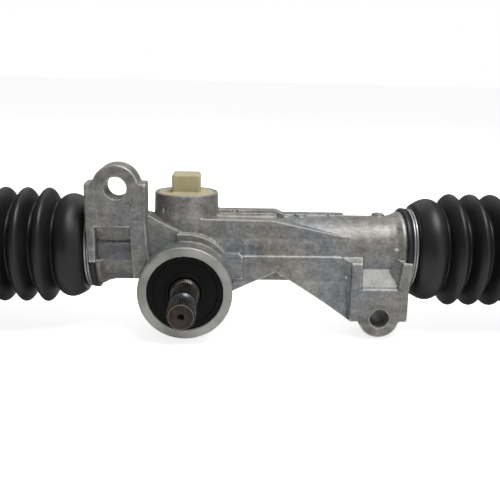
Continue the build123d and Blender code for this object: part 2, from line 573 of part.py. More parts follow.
ROOT_OF_SERRATIONS = SERRATION_RADIUS - SERRATION_DEPTH
with BuildPart() as pinion_shaft:
    revolve(outline(
        PINION_SIDE,
        (SHAFT_END_Y, 0), (SHAFT_END_Y, SERRATION_RADIUS - SHAFT_END_CHAMFER),
        (SHAFT_END_Y + SHAFT_END_CHAMFER, ROOT_OF_SERRATIONS - 0.2),
        (CLAMP_GROOVE_Y[0], ROOT_OF_SERRATIONS - 0.2), (CLAMP_GROOVE_Y[0] + 1.2, ROOT_OF_SERRATIONS - 1.0),
        (CLAMP_GROOVE_Y[1] - 1.2, ROOT_OF_SERRATIONS - 1.0), (CLAMP_GROOVE_Y[1], ROOT_OF_SERRATIONS - 0.2),
        (SERRATION_BACK_Y, ROOT_OF_SERRATIONS - 0.2), (SERRATION_BACK_Y, SERRATION_RADIUS),
        (SERRATION_BACK_Y + 0.9, SEAL_JOURNAL_RADIUS), (BEARING_FRONT_Y, SEAL_JOURNAL_RADIUS),
        (BEARING_FRONT_Y, BEARING_BORE_RADIUS - RUNNING_GAP / 5),
        (BEARING_BACK_Y, BEARING_BORE_RADIUS - RUNNING_GAP / 5), (BEARING_BACK_Y, PINION_ROOT_RADIUS - 0.3),
        (GEAR_BACK_Y, PINION_ROOT_RADIUS - 0.3), (GEAR_BACK_Y, REAR_JOURNAL_RADIUS),
        (REAR_BUSH_BACK_Y - 1.0, REAR_JOURNAL_RADIUS), (REAR_BUSH_BACK_Y, REAR_JOURNAL_RADIUS - 1.0),
        (REAR_BUSH_BACK_Y, 0),
    ), axis=PINION_AXIS)
    extrude(serrated_face(pinion_plane(SHAFT_END_Y + 0.9)), amount=SHAFT_END_Y + 0.9 - CLAMP_GROOVE_Y[0])
    extrude(serrated_face(pinion_plane(CLAMP_GROOVE_Y[1])), amount=CLAMP_GROOVE_Y[1] - SERRATION_BACK_Y)
    extrude(gear_face(pinion_plane(BEARING_BACK_Y)), amount=BEARING_BACK_Y - GEAR_BACK_Y)
    # centre drilling in the input end
    revolve(outline(PINION_SIDE, (SHAFT_END_Y, 0), (SHAFT_END_Y, CENTRE_DRILL_RADIUS),
                    (SHAFT_END_Y + 1.2, CENTRE_DRILL_RADIUS * 0.45), (SHAFT_END_Y + 2.4, 0)),
            axis=PINION_AXIS, mode=Mode.SUBTRACT)
save(pinion_shaft.part, "pinion_shaft")

BALL_CIRCLE = (BEARING_RADIUS + BEARING_BORE_RADIUS) / 2
RACE_RADIUS = BALL_RADIUS + RUNNING_GAP
LAND_GAP = 1.0
RACE_Y = (BEARING_FRONT_Y + BEARING_BACK_Y) / 2


def race(inner, outer):
    """A bearing ring between two radii, chamfered, with its ball track."""
    with BuildPart() as piece:
        revolve(outline(
            PINION_SIDE,
            (BEARING_FRONT_Y, inner + 0.6), (BEARING_FRONT_Y + 0.6, inner), (BEARING_BACK_Y - 0.6, inner),
            (BEARING_BACK_Y, inner + 0.6), (BEARING_BACK_Y, outer - 0.6), (BEARING_BACK_Y - 0.6, outer),
            (BEARING_FRONT_Y + 0.6, outer), (BEARING_FRONT_Y, outer - 0.6),
        ), axis=PINION_AXIS)
        revolve(disc(PINION_SIDE, RACE_RADIUS, (RACE_Y, BALL_CIRCLE)), axis=PINION_AXIS, mode=Mode.SUBTRACT)
    return piece.part


save(race(BALL_CIRCLE + LAND_GAP, BEARING_RADIUS - RUNNING_GAP / 5), "pinion_bearing_outer_ring")
save(race(BEARING_BORE_RADIUS, BALL_CIRCLE - LAND_GAP), "pinion_bearing_inner_ring")

with BuildPart() as balls:
    with Locations(pinion_plane(RACE_Y)):
        with PolarLocations(BALL_CIRCLE, BALLS):
            Sphere(BALL_RADIUS)
save(balls.part, "pinion_bearing_balls")

with BuildPart() as cage:
    extrude(ring(pinion_plane(RACE_Y - 1.6), BALL_CIRCLE + LAND_GAP - 0.2, BALL_CIRCLE - LAND_GAP + 0.2),
            amount=-3.2)
    with Locations(pinion_plane(RACE_Y)):
        with PolarLocations(BALL_CIRCLE, BALLS):
            Sphere(RACE_RADIUS, mode=Mode.SUBTRACT)
save(cage.part, "pinion_bearing_cage")

with BuildPart() as circlip:
    extrude(ring(pinion_plane(CIRCLIP_FRONT_Y), BEARING_RADIUS + 0.8, BEARING_RADIUS - 1.6),
            amount=-CIRCLIP_THICKNESS)
    with BuildSketch(pinion_plane(CIRCLIP_FRONT_Y - 1)):
        with Locations((0, -BEARING_RADIUS)):
            Rectangle(8, 8)
    extrude(amount=-CIRCLIP_THICKNESS - 2, mode=Mode.SUBTRACT)
save(circlip.part, "bearing_circlip")

with BuildPart() as pinion_seal:
    seal_back_y = SEAL_FRONT_Y + SEAL_THICKNESS
    revolve(outline(
        PINION_SIDE,
        (SEAL_FRONT_Y, BEARING_RADIUS - 0.02), (seal_back_y, BEARING_RADIUS - 0.02), (seal_back_y, 15.6),
        (SEAL_FRONT_Y + 1.6, 15.2), (SEAL_FRONT_Y + 1.6, SEAL_LIP_RADIUS + 1.2),
        (seal_back_y, SEAL_LIP_RADIUS),
        (seal_back_y, SEAL_JOURNAL_RADIUS + 0.5), (SEAL_FRONT_Y + 1.8, SEAL_JOURNAL_RADIUS + RUNNING_GAP),
        (SEAL_FRONT_Y - 0.5, SEAL_JOURNAL_RADIUS + 0.7), (SEAL_FRONT_Y - 0.5, SEAL_LIP_RADIUS - 0.6),
        (SEAL_FRONT_Y + 0.6, SEAL_LIP_RADIUS), (SEAL_FRONT_Y + 0.6, 14.6), (SEAL_FRONT_Y, 15.2),
    ), axis=PINION_AXIS)
save(pinion_seal.part, "pinion_seal")

with BuildPart() as rear_bush:
    extrude(ring(pinion_plane(GEAR_BACK_Y + 0.6), REAR_BUSH_RADIUS - 0.01, REAR_JOURNAL_RADIUS + RUNNING_GAP),
            amount=GEAR_BACK_Y + 0.6 - REAR_BUSH_BACK_Y)
save(rear_bush.part, "pinion_rear_bush")

with BuildPart() as rear_cap:
    extrude(disc(pinion_plane(REAR_BOSS_Y - 0.4), REAR_CAP_RADIUS - 0.02), amount=REAR_CAP_THICKNESS)
    extrude(disc(pinion_plane(REAR_BOSS_Y - 0.4), REAR_CAP_RADIUS - 3.0), amount=REAR_CAP_THICKNESS / 2,
            mode=Mode.SUBTRACT)
save(rear_cap.part, "pinion_rear_cap")

# ================================================================== rack guide group
GUIDE_RADIUS = GUIDE_BORE_RADIUS - RUNNING_GAP
LINER_INNER = RACK_RADIUS + RUNNING_GAP
SEAT_OF_LINER = LINER_INNER + LINER_THICKNESS
SPRING_TOP_Z = PLUG_POCKET_Z
O_RING_MIDDLE = GUIDE_BORE_RADIUS - FACE_GAP - O_RING_WIRE_RADIUS
O_RING_GROOVE = O_RING_MIDDLE - O_RING_WIRE_RADIUS - FACE_GAP

with BuildPart() as rack_guide:
    extrude(disc(LEVEL.offset(GUIDE_FOOT_Z), GUIDE_RADIUS), amount=GUIDE_TOP_Z - GUIDE_FOOT_Z)
    chamfer(rack_guide.edges().filter_by(GeomType.CIRCLE).group_by(Axis.Z)[-1], 0.6)
    extrude(disc(SECTION.offset(-2 * GUIDE_RADIUS), SEAT_OF_LINER), amount=4 * GUIDE_RADIUS,
            mode=Mode.SUBTRACT)
    extrude(disc(LEVEL.offset(SPRING_SEAT_Z), SPRING_RADIUS + SPRING_WIRE_RADIUS + 0.4), amount=GUIDE_TOP_Z,
            mode=Mode.SUBTRACT)
    half_groove = O_RING_WIRE_RADIUS + 2 * FACE_GAP
    revolve(outline(TOWER_FRONT, (GUIDE_RADIUS + 1, O_RING_Z - half_groove),
                    (O_RING_GROOVE, O_RING_Z - half_groove),
                    (O_RING_GROOVE, O_RING_Z + half_groove), (GUIDE_RADIUS + 1, O_RING_Z + half_groove)),
            axis=TOWER_AXIS, mode=Mode.SUBTRACT)
save(rack_guide.part, "rack_guide")

with BuildPart() as guide_liner:
    extrude(ring(SECTION.offset(-2 * GUIDE_RADIUS), SEAT_OF_LINER, LINER_INNER), amount=4 * GUIDE_RADIUS)
    reach = 3 * RACK_RADIUS
    spread = reach * tan(radians(LINER_HALF_ANGLE))
    extrude(outline(SECTION.offset(-2 * GUIDE_RADIUS), (0, 0), (spread, reach), (-spread, reach)),
            amount=4 * GUIDE_RADIUS, mode=Mode.INTERSECT)
    extrude(disc(LEVEL, GUIDE_RADIUS - LINER_MARGIN), amount=GUIDE_TOP_Z, mode=Mode.INTERSECT)
save(guide_liner.part, "guide_liner")

with BuildPart() as guide_o_ring:
    revolve(disc(TOWER_FRONT, O_RING_WIRE_RADIUS, (O_RING_MIDDLE, O_RING_Z)), axis=TOWER_AXIS)
save(guide_o_ring.part, "guide_o_ring")

with BuildPart() as guide_spring:
    spring_rise = SPRING_TOP_Z - SPRING_SEAT_Z - 2 * SPRING_WIRE_RADIUS - 0.1
    spring_base = Plane(TOWER_POINT + Vector(0, 0, SPRING_SEAT_Z + SPRING_WIRE_RADIUS + 0.05))
    with BuildLine(spring_base):
        coil = Helix(pitch=spring_rise / SPRING_TURNS, height=spring_rise, radius=SPRING_RADIUS)
    with BuildSketch(Plane(coil @ 0, z_dir=coil % 0)):
        Circle(SPRING_WIRE_RADIUS)
    sweep(path=coil, is_frenet=True)
save(guide_spring.part, "guide_spring")

with BuildPart() as adjuster_plug:
    extrude(disc(LEVEL.offset(PLUG_FOOT_Z), GUIDE_BORE_RADIUS - RUNNING_GAP),
            amount=TOWER_TOP_Z - PLUG_FOOT_Z)
    chamfer(adjuster_plug.edges().filter_by(GeomType.CIRCLE).group_by(Axis.Z)[-1], 0.3)
    with BuildSketch(LEVEL.offset(TOWER_TOP_Z)):
        Rectangle(PLUG_HEAD_WIDTH, PLUG_HEAD_DEPTH)
    extrude(amount=PLUG_HEAD_TOP_Z - TOWER_TOP_Z)
    head_sides = adjuster_plug.edges().filter_by(Axis.Z).sort_by(Axis.Z)[-4:]
    fillet(head_sides, 1.0)
    chamfer(adjuster_plug.faces().sort_by(Axis.Z)[-1].edges(), 0.8)
    extrude(disc(LEVEL.offset(PLUG_FOOT_Z), SPRING_RADIUS + SPRING_WIRE_RADIUS + 0.4),
            amount=PLUG_POCKET_Z - PLUG_FOOT_Z, mode=Mode.SUBTRACT)
save(adjuster_plug.part, "adjuster_plug")


# ================================================================== ball joints and tie rods
def on_sphere(radius, distance):
    """Height of a sphere's surface at this distance from its centre."""
    return sqrt(radius * radius - distance * distance)


def joint_plane(side, distance):
    """The plane square to the rack at a distance from the ball's centre, facing out."""
    place = CROSSING + Vector(outwards(side, BALL_CENTRE + distance), 0, 0)
    return Plane(place, x_dir=(0, 1, 0), z_dir=(side, 0, 0))


def joint_outline(side, *points):
    """A face on FRONT from (distance out from the ball's centre, height) points."""
    return side_outline(side, *[(BALL_CENTRE + d, r) for d, r in points])


def ball_at(side, radius, mode):
    """A sphere on the ball's centre, added to or cut from the part being built."""
    with Locations(CROSSING + Vector(outwards(side, BALL_CENTRE), 0, 0)):
        Sphere(radius, mode=mode)


CAVITY_LIP = SEAT_LIP + 0.6
MOUTH_SLOPE = tan(radians(MOUTH_HALF_ANGLE))


def make_bump_stop(side):
    with BuildPart() as stop:
        inner = RACK_RADIUS + RUNNING_GAP
        revolve(side_outline(side, (RACK_END - BUMP_STOP_LENGTH, inner),
                             (RACK_END - BUMP_STOP_LENGTH, BUMP_STOP_RADIUS - 1.2),
                             (RACK_END - BUMP_STOP_LENGTH + 1.2, BUMP_STOP_RADIUS),
                             (RACK_END, BUMP_STOP_RADIUS),
                             (RACK_END, inner)), axis=RACK_AXIS)
    return stop.part


def make_lock_washer(side):
    with BuildPart() as washer:
        extrude(ring(SECTION.offset(outwards(side, RACK_END)), LOCK_WASHER_RADIUS, STUD_RADIUS + RUNNING_GAP),
                amount=side * LOCK_WASHER_THICKNESS)
    return washer.part


def make_socket(side):
    with BuildPart() as socket:
        revolve(joint_outline(
            side, (-SOCKET_INNER_FACE, 0), (-SOCKET_INNER_FACE, SOCKET_RADIUS - 1),
            (1 - SOCKET_INNER_FACE, SOCKET_RADIUS),
            (SOCKET_LIP - 4.6, SOCKET_RADIUS), (SOCKET_LIP, SOCKET_LIP * MOUTH_SLOPE + 0.8), (SOCKET_LIP, 0),
        ), axis=RACK_AXIS)
        # two flats for the spanner
        for turn in (-1, 1):
            extrude(outline(joint_plane(side, -SOCKET_INNER_FACE), (-SOCKET_RADIUS, turn * 13.6),
                            (SOCKET_RADIUS, turn * 13.6), (SOCKET_RADIUS, turn * 20), (-SOCKET_RADIUS, turn * 20)),
                    amount=9, mode=Mode.SUBTRACT)
        extrude(disc(joint_plane(side, -SOCKET_INNER_FACE), STUD_RADIUS), amount=-STUD_LENGTH)
        ball_at(side, CAVITY_RADIUS, Mode.SUBTRACT)
        lip_height = on_sphere(CAVITY_RADIUS, CAVITY_LIP)
        revolve(joint_outline(side, (0, 0), (0, lip_height), (CAVITY_LIP, lip_height),
                              (SOCKET_LIP, max(SOCKET_LIP * MOUTH_SLOPE, lip_height + 0.5)),
                              (SOCKET_LIP + 1, max(SOCKET_LIP * MOUTH_SLOPE, lip_height + 0.5)),
                              (SOCKET_LIP + 1, 0)),
                axis=RACK_AXIS, mode=Mode.SUBTRACT)
    return socket.part


def make_seat(side):
    with BuildPart() as seat:
        ball_at(side, SEAT_RADIUS, Mode.ADD)
        ball_at(side, BALL_STUD_RADIUS + RUNNING_GAP, Mode.SUBTRACT)
        # open towards the rod, and a grease hole towards the rack
        extrude(disc(joint_plane(side, SEAT_LIP), SEAT_RADIUS + 1), amount=SEAT_RADIUS, mode=Mode.SUBTRACT)
        extrude(disc(joint_plane(side, 0), 3.0), amount=-SEAT_RADIUS - 1, mode=Mode.SUBTRACT)
        revolve(joint_outline(side, (0, 0), (SEAT_LIP + 1, (SEAT_LIP + 1) * MOUTH_SLOPE), (SEAT_LIP + 1, 0)),
                axis=RACK_AXIS, mode=Mode.SUBTRACT)
    return seat.part


def make_tie_rod(side):
    groove_start = BOOT_END - BALL_CENTRE - SMALL_END_LENGTH - 0.8
    groove_end = BOOT_END - BALL_CENTRE + 0.8
    groove = ROD_RADIUS - ROD_GROOVE_DEPTH
    with BuildPart() as rod:
        ball_at(side, BALL_STUD_RADIUS, Mode.ADD)
        revolve(joint_outline(
            side, (0, 0), (0, ROD_NECK_RADIUS), (ROD_NECK_END - 3, ROD_NECK_RADIUS),
            (ROD_NECK_END, ROD_RADIUS),
            (groove_start - ROD_GROOVE_DEPTH, ROD_RADIUS), (groove_start, groove), (groove_end, groove),
            (groove_end + ROD_GROOVE_DEPTH, ROD_RADIUS), (ROD_LENGTH - THREAD_LENGTH - 0.6, ROD_RADIUS),
            (ROD_LENGTH - THREAD_LENGTH, THREAD_RADIUS), (ROD_LENGTH - ROD_TIP_CHAMFER, THREAD_RADIUS),
            (ROD_LENGTH, THREAD_RADIUS - ROD_TIP_CHAMFER), (ROD_LENGTH, 0),
        ), axis=RACK_AXIS)
        # spanner flats
        for turn in (-1, 1):
            extrude(outline(joint_plane(side, FLATS_START), (-ROD_RADIUS - 1, turn * FLATS_WIDTH / 2),
                            (ROD_RADIUS + 1, turn * FLATS_WIDTH / 2), (ROD_RADIUS + 1, turn * (ROD_RADIUS + 1)),
                            (-ROD_RADIUS - 1, turn * (ROD_RADIUS + 1))),
                    amount=FLATS_LENGTH, mode=Mode.SUBTRACT)
    return rod.part


def make_lock_nut(side):
    with BuildPart() as nut:
        with BuildSketch(joint_plane(side, ROD_LENGTH - LOCK_NUT_FROM_END)):
            RegularPolygon(LOCK_NUT_WIDTH / 2, 6, major_radius=False)
        extrude(amount=LOCK_NUT_THICKNESS)
        corner = LOCK_NUT_WIDTH / 2 / cos(pi / 6)
        start = ROD_LENGTH - LOCK_NUT_FROM_END
        revolve(joint_outline(side, (start, 0), (start, LOCK_NUT_WIDTH / 2 - 0.3),
                              (start + 1.3, corner + 0.1),
                              (start + LOCK_NUT_THICKNESS - 1.3, corner + 0.1),
                              (start + LOCK_NUT_THICKNESS, LOCK_NUT_WIDTH / 2 - 0.3),
                              (start + LOCK_NUT_THICKNESS, 0)),
                axis=RACK_AXIS, mode=Mode.INTERSECT)
        extrude(disc(joint_plane(side, start - 1), THREAD_RADIUS + RUNNING_GAP), amount=LOCK_NUT_THICKNESS + 2,
                mode=Mode.SUBTRACT)
    return nut.part


# ================================================================== boots
def boot_profile():
    """(distance from the middle, radius) points along the boot's outside."""
    clamp_end = CLAMP_SEAT + CLAMP_SEAT_WIDTH
    points = [(CUFF_START - LIP_OVERLAP, RIM_RADIUS + SOFT_GAP),
              (CUFF_START - LIP_OVERLAP, CUFF_RADIUS + CUFF_LIP),
              (CUFF_START + CUFF_LIP_WIDTH, CUFF_RADIUS + CUFF_LIP),
              (CLAMP_SEAT, CUFF_RADIUS), (clamp_end, CUFF_RADIUS), (clamp_end + SOFT_GAP, SHOULDER_RADIUS),
              (HOUSING_HALF + BARREL_PEAK - 1.0, BARREL_RADIUS),
              (HOUSING_HALF + BARREL_PEAK + 1.5, BARREL_RADIUS - 0.3)]
    first = HOUSING_HALF + FIRST_VALLEY
    last = BOOT_END - SMALL_END_LENGTH - 4.0
    pitch = (last - first) / CONVOLUTIONS
    taper_from = BOOT_END - TAPER_LENGTH
    for i in range(CONVOLUTIONS + 1):
        valley = first + i * pitch
        peak = valley + pitch / 2
        for place, radius in ((valley, BOOT_VALLEY_RADIUS), (peak, BOOT_PEAK_RADIUS)):
            if place > last:
                continue
            share = max(0.0, (place - taper_from) / (BOOT_END - taper_from))
            tapered = radius + (SMALL_END_RADIUS - BOOT_VALLEY_RADIUS) * share
            half_flat = pitch * (0.1 if radius == BOOT_VALLEY_RADIUS else 0.14)
            points += [(place - half_flat, tapered), (place + half_flat, tapered)]
    points += [(BOOT_END - SMALL_END_LENGTH, SMALL_END_RADIUS), (BOOT_END, SMALL_END_RADIUS)]
    return points


def make_boot(side):
    outside = boot_profile()
    inside = [(d, r - BOOT_WALL) for d, r in outside[6:]]
    cuff_end = CLAMP_SEAT + CLAMP_SEAT_WIDTH + BOOT_WALL
    cuff = [(cuff_end + SOFT_GAP, SHOULDER_RADIUS - BOOT_WALL), (cuff_end, CUFF_BORE_RADIUS),
            (CUFF_START, CUFF_BORE_RADIUS), (CUFF_START, RIM_RADIUS + SOFT_GAP)]
    with BuildPart() as boot:
        revolve(side_outline(side, *outside, *reversed(inside), *cuff), axis=RACK_AXIS)
    return boot.part


def make_boot_clamp(side):
    """Two turns of wire round the cuff, with the two twisted ends at the back."""
    middle = CLAMP_SEAT + CLAMP_SEAT_WIDTH / 2
    with BuildPart() as clamp:
        for turn in (-1, 1):
            place = outwards(side, middle + turn * (CLAMP_WIRE_RADIUS + 0.02))
            revolve(disc(FRONT, CLAMP_WIRE_RADIUS, (place, CLAMP_RADIUS)), axis=RACK_AXIS)
    return clamp.part


def make_boot_clip(side):
    """Spring band with two ears round the boot's small end."""
    inner = SMALL_END_RADIUS + 0.1
    start = BOOT_END - SMALL_END_LENGTH / 2 - CLIP_WIDTH / 2
    with BuildPart() as clip:
        plane = SECTION.offset(outwards(side, start))
        extrude(ring(plane, inner + CLIP_WALL, inner), amount=side * CLIP_WIDTH)
        for turn in (-1, 1):
            extrude(outline(plane, (turn * 0.8, inner + CLIP_WALL / 2), (turn * 2.0, inner + CLIP_WALL / 2),
                            (turn * 3.6, inner + 5), (turn * 2.4, inner + 5)), amount=side * CLIP_WIDTH)
    return clip.part


SIDES = {"left": -1, "right": 1}
MAKERS = {
    "bump_stop": make_bump_stop,
    "lock_washer": make_lock_washer,
    "ball_socket": make_socket,
    "ball_seat": make_seat,
    "tie_rod": make_tie_rod,
    "lock_nut": make_lock_nut,
    "boot": make_boot,
    "boot_clamp": make_boot_clamp,
    "boot_clip": make_boot_clip,
}
for side_name, side_sign in SIDES.items():
    for piece_name, maker in MAKERS.items():
        save(maker(side_sign), f"{side_name}_{piece_name}")
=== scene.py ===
"""Steering rack: the finished look of each piece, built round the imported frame.

Lengths are metres. Sizes that a maker would quote are written in millimetres through the
constant MM. Each sub-assembly is a class: its fields are its sizes and its methods model
and dress its pieces. Finishes are frozen dataclasses that make their own node materials.
"""

import json
import logging
import math
from abc import ABC, abstractmethod
from dataclasses import dataclass
from enum import Enum
from functools import cache
from typing import Callable, Sequence

import bpy
from mathutils import Matrix, Vector
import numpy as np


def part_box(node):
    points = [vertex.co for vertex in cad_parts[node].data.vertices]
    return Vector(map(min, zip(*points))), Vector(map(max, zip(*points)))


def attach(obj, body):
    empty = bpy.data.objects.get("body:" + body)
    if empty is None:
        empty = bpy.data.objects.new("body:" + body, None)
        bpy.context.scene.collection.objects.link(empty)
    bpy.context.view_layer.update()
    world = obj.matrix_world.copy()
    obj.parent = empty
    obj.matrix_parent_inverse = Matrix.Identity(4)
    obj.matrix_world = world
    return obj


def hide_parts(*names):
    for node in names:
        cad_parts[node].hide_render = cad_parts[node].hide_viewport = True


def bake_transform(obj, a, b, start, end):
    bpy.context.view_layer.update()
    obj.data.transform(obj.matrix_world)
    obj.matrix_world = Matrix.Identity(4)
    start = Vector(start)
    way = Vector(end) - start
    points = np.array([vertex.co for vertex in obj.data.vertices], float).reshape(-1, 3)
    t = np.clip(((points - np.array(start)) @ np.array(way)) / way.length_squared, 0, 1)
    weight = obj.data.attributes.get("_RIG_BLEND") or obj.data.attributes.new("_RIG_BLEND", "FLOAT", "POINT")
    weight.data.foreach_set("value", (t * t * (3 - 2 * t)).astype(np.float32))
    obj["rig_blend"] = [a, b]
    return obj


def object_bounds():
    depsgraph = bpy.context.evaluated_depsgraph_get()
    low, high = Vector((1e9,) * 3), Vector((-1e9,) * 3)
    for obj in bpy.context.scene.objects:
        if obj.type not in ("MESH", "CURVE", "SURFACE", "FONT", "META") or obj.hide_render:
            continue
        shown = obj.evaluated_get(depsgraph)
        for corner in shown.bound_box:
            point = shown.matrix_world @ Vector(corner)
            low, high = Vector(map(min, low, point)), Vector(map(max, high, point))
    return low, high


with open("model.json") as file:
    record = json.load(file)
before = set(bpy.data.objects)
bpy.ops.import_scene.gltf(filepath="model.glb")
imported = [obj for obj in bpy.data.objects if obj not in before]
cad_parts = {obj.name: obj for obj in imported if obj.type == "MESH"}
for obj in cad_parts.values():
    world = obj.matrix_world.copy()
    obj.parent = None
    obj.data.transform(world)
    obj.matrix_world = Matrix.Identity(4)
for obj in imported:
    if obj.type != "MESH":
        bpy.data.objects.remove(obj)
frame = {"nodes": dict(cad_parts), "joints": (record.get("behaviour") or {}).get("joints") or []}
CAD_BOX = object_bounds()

logging.basicConfig(level=logging.INFO, format="%(message)s")
log = logging.getLogger("steering_rack")

MM = 0.001
Point = tuple[float, float, float]
Pair = tuple[float, float]
Profile = list[Pair]                        # distances from the housing's middle, and radii
Colour = tuple[float, float, float, float]
Tones = Sequence[tuple[float, str]]         # positions in a ramp, and the names of their colours
Socket = bpy.types.NodeSocket
Object = bpy.types.Object
Material = bpy.types.Material


class Side(Enum):
    """The two ends of the rack."""

    LEFT = -1
    RIGHT = 1

    @property
    def word(self) -> str:
        """The side's name, as the nodes use it."""
        return self.name.lower()


class Projection(Enum):
    """Which way a pattern's long direction runs, as a scale along X, Y and Z."""

    EVEN = (1.0, 1.0, 1.0)
    ALONG_X = (0.06, 1.0, 1.0)
    AROUND_X = (1.0, 0.05, 0.05)
    AROUND_Y = (0.05, 1.0, 0.05)


# ------------------------ where things lie


@dataclass(frozen=True)
class Layout:
    """Axes and places that every class shares, read from the frame."""

    rack_y: float
    rack_z: float
    pinion_x: float
    pinion_z: float
    middle_x: float
    ball_out: float

    @staticmethod
    def read() -> "Layout":
        """Work the axes out from the boxes of the nodes that lie on them.

        Returns:
            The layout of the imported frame.
        """
        ring_low, ring_high = (Vector(c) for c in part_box("pinion_bearing_outer_ring"))
        joints = {j["name"]: j for j in frame["joints"]}
        balls = [joints[f"{s.word}_rod_lift"]["pos_m"] for s in Side]
        return Layout(
            rack_y=balls[0][1],
            rack_z=balls[0][2],
            pinion_x=(ring_low.x + ring_high.x) / 2,
            pinion_z=(ring_low.z + ring_high.z) / 2,
            middle_x=(balls[0][0] + balls[1][0]) / 2,
            ball_out=(balls[1][0] - balls[0][0]) / 2,
        )

    def outwards(self, side: Side, distance: float) -> float:
        """X of a place this far from the housing's middle, on one side."""
        return self.middle_x + side.value * distance


LAYOUT = Layout.read()


# ------------------------ node helpers


def linear(code: str) -> Colour:
    """Turn an sRGB hex code into linear colour.

    Args:
        code: six hex digits.

    Returns:
        Linear red, green, blue and an alpha of 1.
    """
    channels = [int(code[i:i + 2], 16) / 255 for i in (0, 2, 4)]
    return tuple(c / 12.92 if c <= 0.04045 else ((c + 0.055) / 1.055) ** 2.4 for c in channels) + (1.0,)


def add_node(tree: bpy.types.NodeTree, kind: str, settings: dict | None = None,
             links: dict | None = None) -> bpy.types.Node:
    """Add a node with its settings and links.

    Args:
        tree: the node tree that it joins.
        kind: the node's type name.
        settings: attributes by name, or input values by socket name or number.
        links: output sockets by the name or number of the input that they feed.

    Returns:
        The new node.
    """
    node = tree.nodes.new(kind)
    for key, value in (settings or {}).items():
        if isinstance(key, str) and hasattr(node, key):
            setattr(node, key, value)
        else:
            node.inputs[key].default_value = value
    for key, socket in (links or {}).items():
        tree.links.new(socket, node.inputs[key])
    return node


def ramp(tree: bpy.types.NodeTree, source: Socket, stops: Sequence[tuple[float, Colour]]) -> Socket:
    """A colour ramp over a value.

    Args:
        tree: the node tree.
        source: the value that drives the ramp.
        stops: position and linear colour of each stop.

    Returns:
        The ramp's colour output.
    """
    node = add_node(tree, "ShaderNodeValToRGB", links={"Fac": source})
    elements = node.color_ramp.elements
    while len(elements) < len(stops):
        elements.new(0.5)
    for element, (position, colour) in zip(elements, stops):
        element.position = position
        element.color = colour
    return node.outputs["Color"]


def grey(value: float) -> Colour:
    """A linear grey with full alpha."""
    return (value, value, value, 1.0)


# ------------------------ finishes


@dataclass(frozen=True)
class Grain:
    """A noise: how fine it is, its octaves, how rough they are and which way it runs."""

    scale: float
    detail: float = 3.0
    rough: float = 0.55
    way: Projection = Projection.EVEN


@dataclass(frozen=True)
class Layer:
    """A colour laid where a pattern goes from one value, for none of it, to another, for its full amount."""

    pattern: str
    none: float
    full: float
    amount: float
    colour: str


class Shader:
    """A material under construction: its tree, its shader and the coordinates its patterns use."""

    NOISE_RANGE: Pair = (0.3, 0.7)          # a noise seldom leaves these values
    MIX_COLOURS = (6, 7)                    # the mix node's inputs for colours

    def __init__(self, name: str, constants: dict[str, float | Point]) -> None:
        """Start a material.

        Args:
            name: the material's name.
            constants: values that are the same all over, by the names of the shader's sockets.
        """
        self.material = bpy.data.materials.new(name)
        self.material.use_nodes = True
        self.tree = self.material.node_tree
        self.surface = self.tree.nodes["Principled BSDF"]
        for socket, value in constants.items():
            self.surface.inputs[socket].default_value = value
        self.place = add_node(self.tree, "ShaderNodeTexCoord").outputs["Object"]

    def noise(self, grain: Grain) -> Socket:
        """A noise over the object's own coordinates."""
        stretched = add_node(self.tree, "ShaderNodeMapping", {"Scale": grain.way.value},
                             {"Vector": self.place})
        node = add_node(self.tree, "ShaderNodeTexNoise",
                        {"Scale": grain.scale, "Detail": grain.detail, "Roughness": grain.rough},
                        {"Vector": stretched.outputs["Vector"]})
        return node.outputs["Fac"]

    def cells(self, scale: float) -> Socket:
        """Distance to the nearest of a field of scattered points."""
        node = add_node(self.tree, "ShaderNodeTexVoronoi", {"Scale": scale}, {"Vector": self.place})
        return node.outputs["Distance"]

    def span(self, source: Socket, low: float, high: float,
             out_low: float = 0.0, out_high: float = 1.0) -> Socket:
        """Map a value's range onto another, held at both ends.

        Args:
            source: the value.
            low: where the range starts.
            high: where it ends; it may be the lower one.
            out_low: result at the start.
            out_high: result at the end.

        Returns:
            The mapped value.
        """
        node = add_node(self.tree, "ShaderNodeMapRange",
                        {"From Min": low, "From Max": high, "To Min": out_low, "To Max": out_high},
                        {"Value": source})
        return node.outputs["Result"]

    def maths(self, operation: str, *terms: Socket | float) -> Socket:
        """One step of arithmetic on terms that are sockets or constants."""
        settings: dict = {"operation": operation}
        links = {}
        for number, term in enumerate(terms):
            (settings if isinstance(term, float) else links)[number] = term
        return add_node(self.tree, "ShaderNodeMath", settings, links).outputs["Value"]

    def band(self, source: Socket, rise: Pair, fall: Pair) -> Socket:
        """One between a rise and a fall of a value, and nought outside them."""
        return self.maths("MULTIPLY", self.span(source, *rise), self.span(source, *fall, 1.0, 0.0))

    def mix(self, factor: Socket, first: Socket | Colour, second: Socket | Colour) -> Socket:
        """Mix two colours, constant or from sockets, by how much of the second there is."""
        settings: dict = {"data_type": "RGBA"}
        links = {"Factor": factor}
        for number, colour in zip(self.MIX_COLOURS, (first, second)):
            (settings if isinstance(colour, tuple) else links)[number] = colour
        return add_node(self.tree, "ShaderNodeMix", settings, links).outputs[2]

    def colour(self, socket: Socket) -> None:
        """Use a colour as the base colour."""
        self.tree.links.new(socket, self.surface.inputs["Base Color"])

    def roughness(self, source: Socket, low: float, high: float) -> None:
        """Spread the roughness between two values by a noise."""
        self.tree.links.new(self.span(source, *self.NOISE_RANGE, low, high), self.surface.inputs["Roughness"])

    def bump(self, *layers: tuple[Socket, float, float]) -> None:
        """Stack relief patterns.

        Args:
            *layers: height socket, strength and depth in millimetres of each.
        """
        links: dict = {}
        for height, strength, depth in layers:
            node = add_node(self.tree, "ShaderNodeBump", {"Strength": strength, "Distance": depth * MM},
                            {"Height": height, **links})
            links = {"Normal": node.outputs["Normal"]}
        self.tree.links.new(links["Normal"], self.surface.inputs["Normal"])


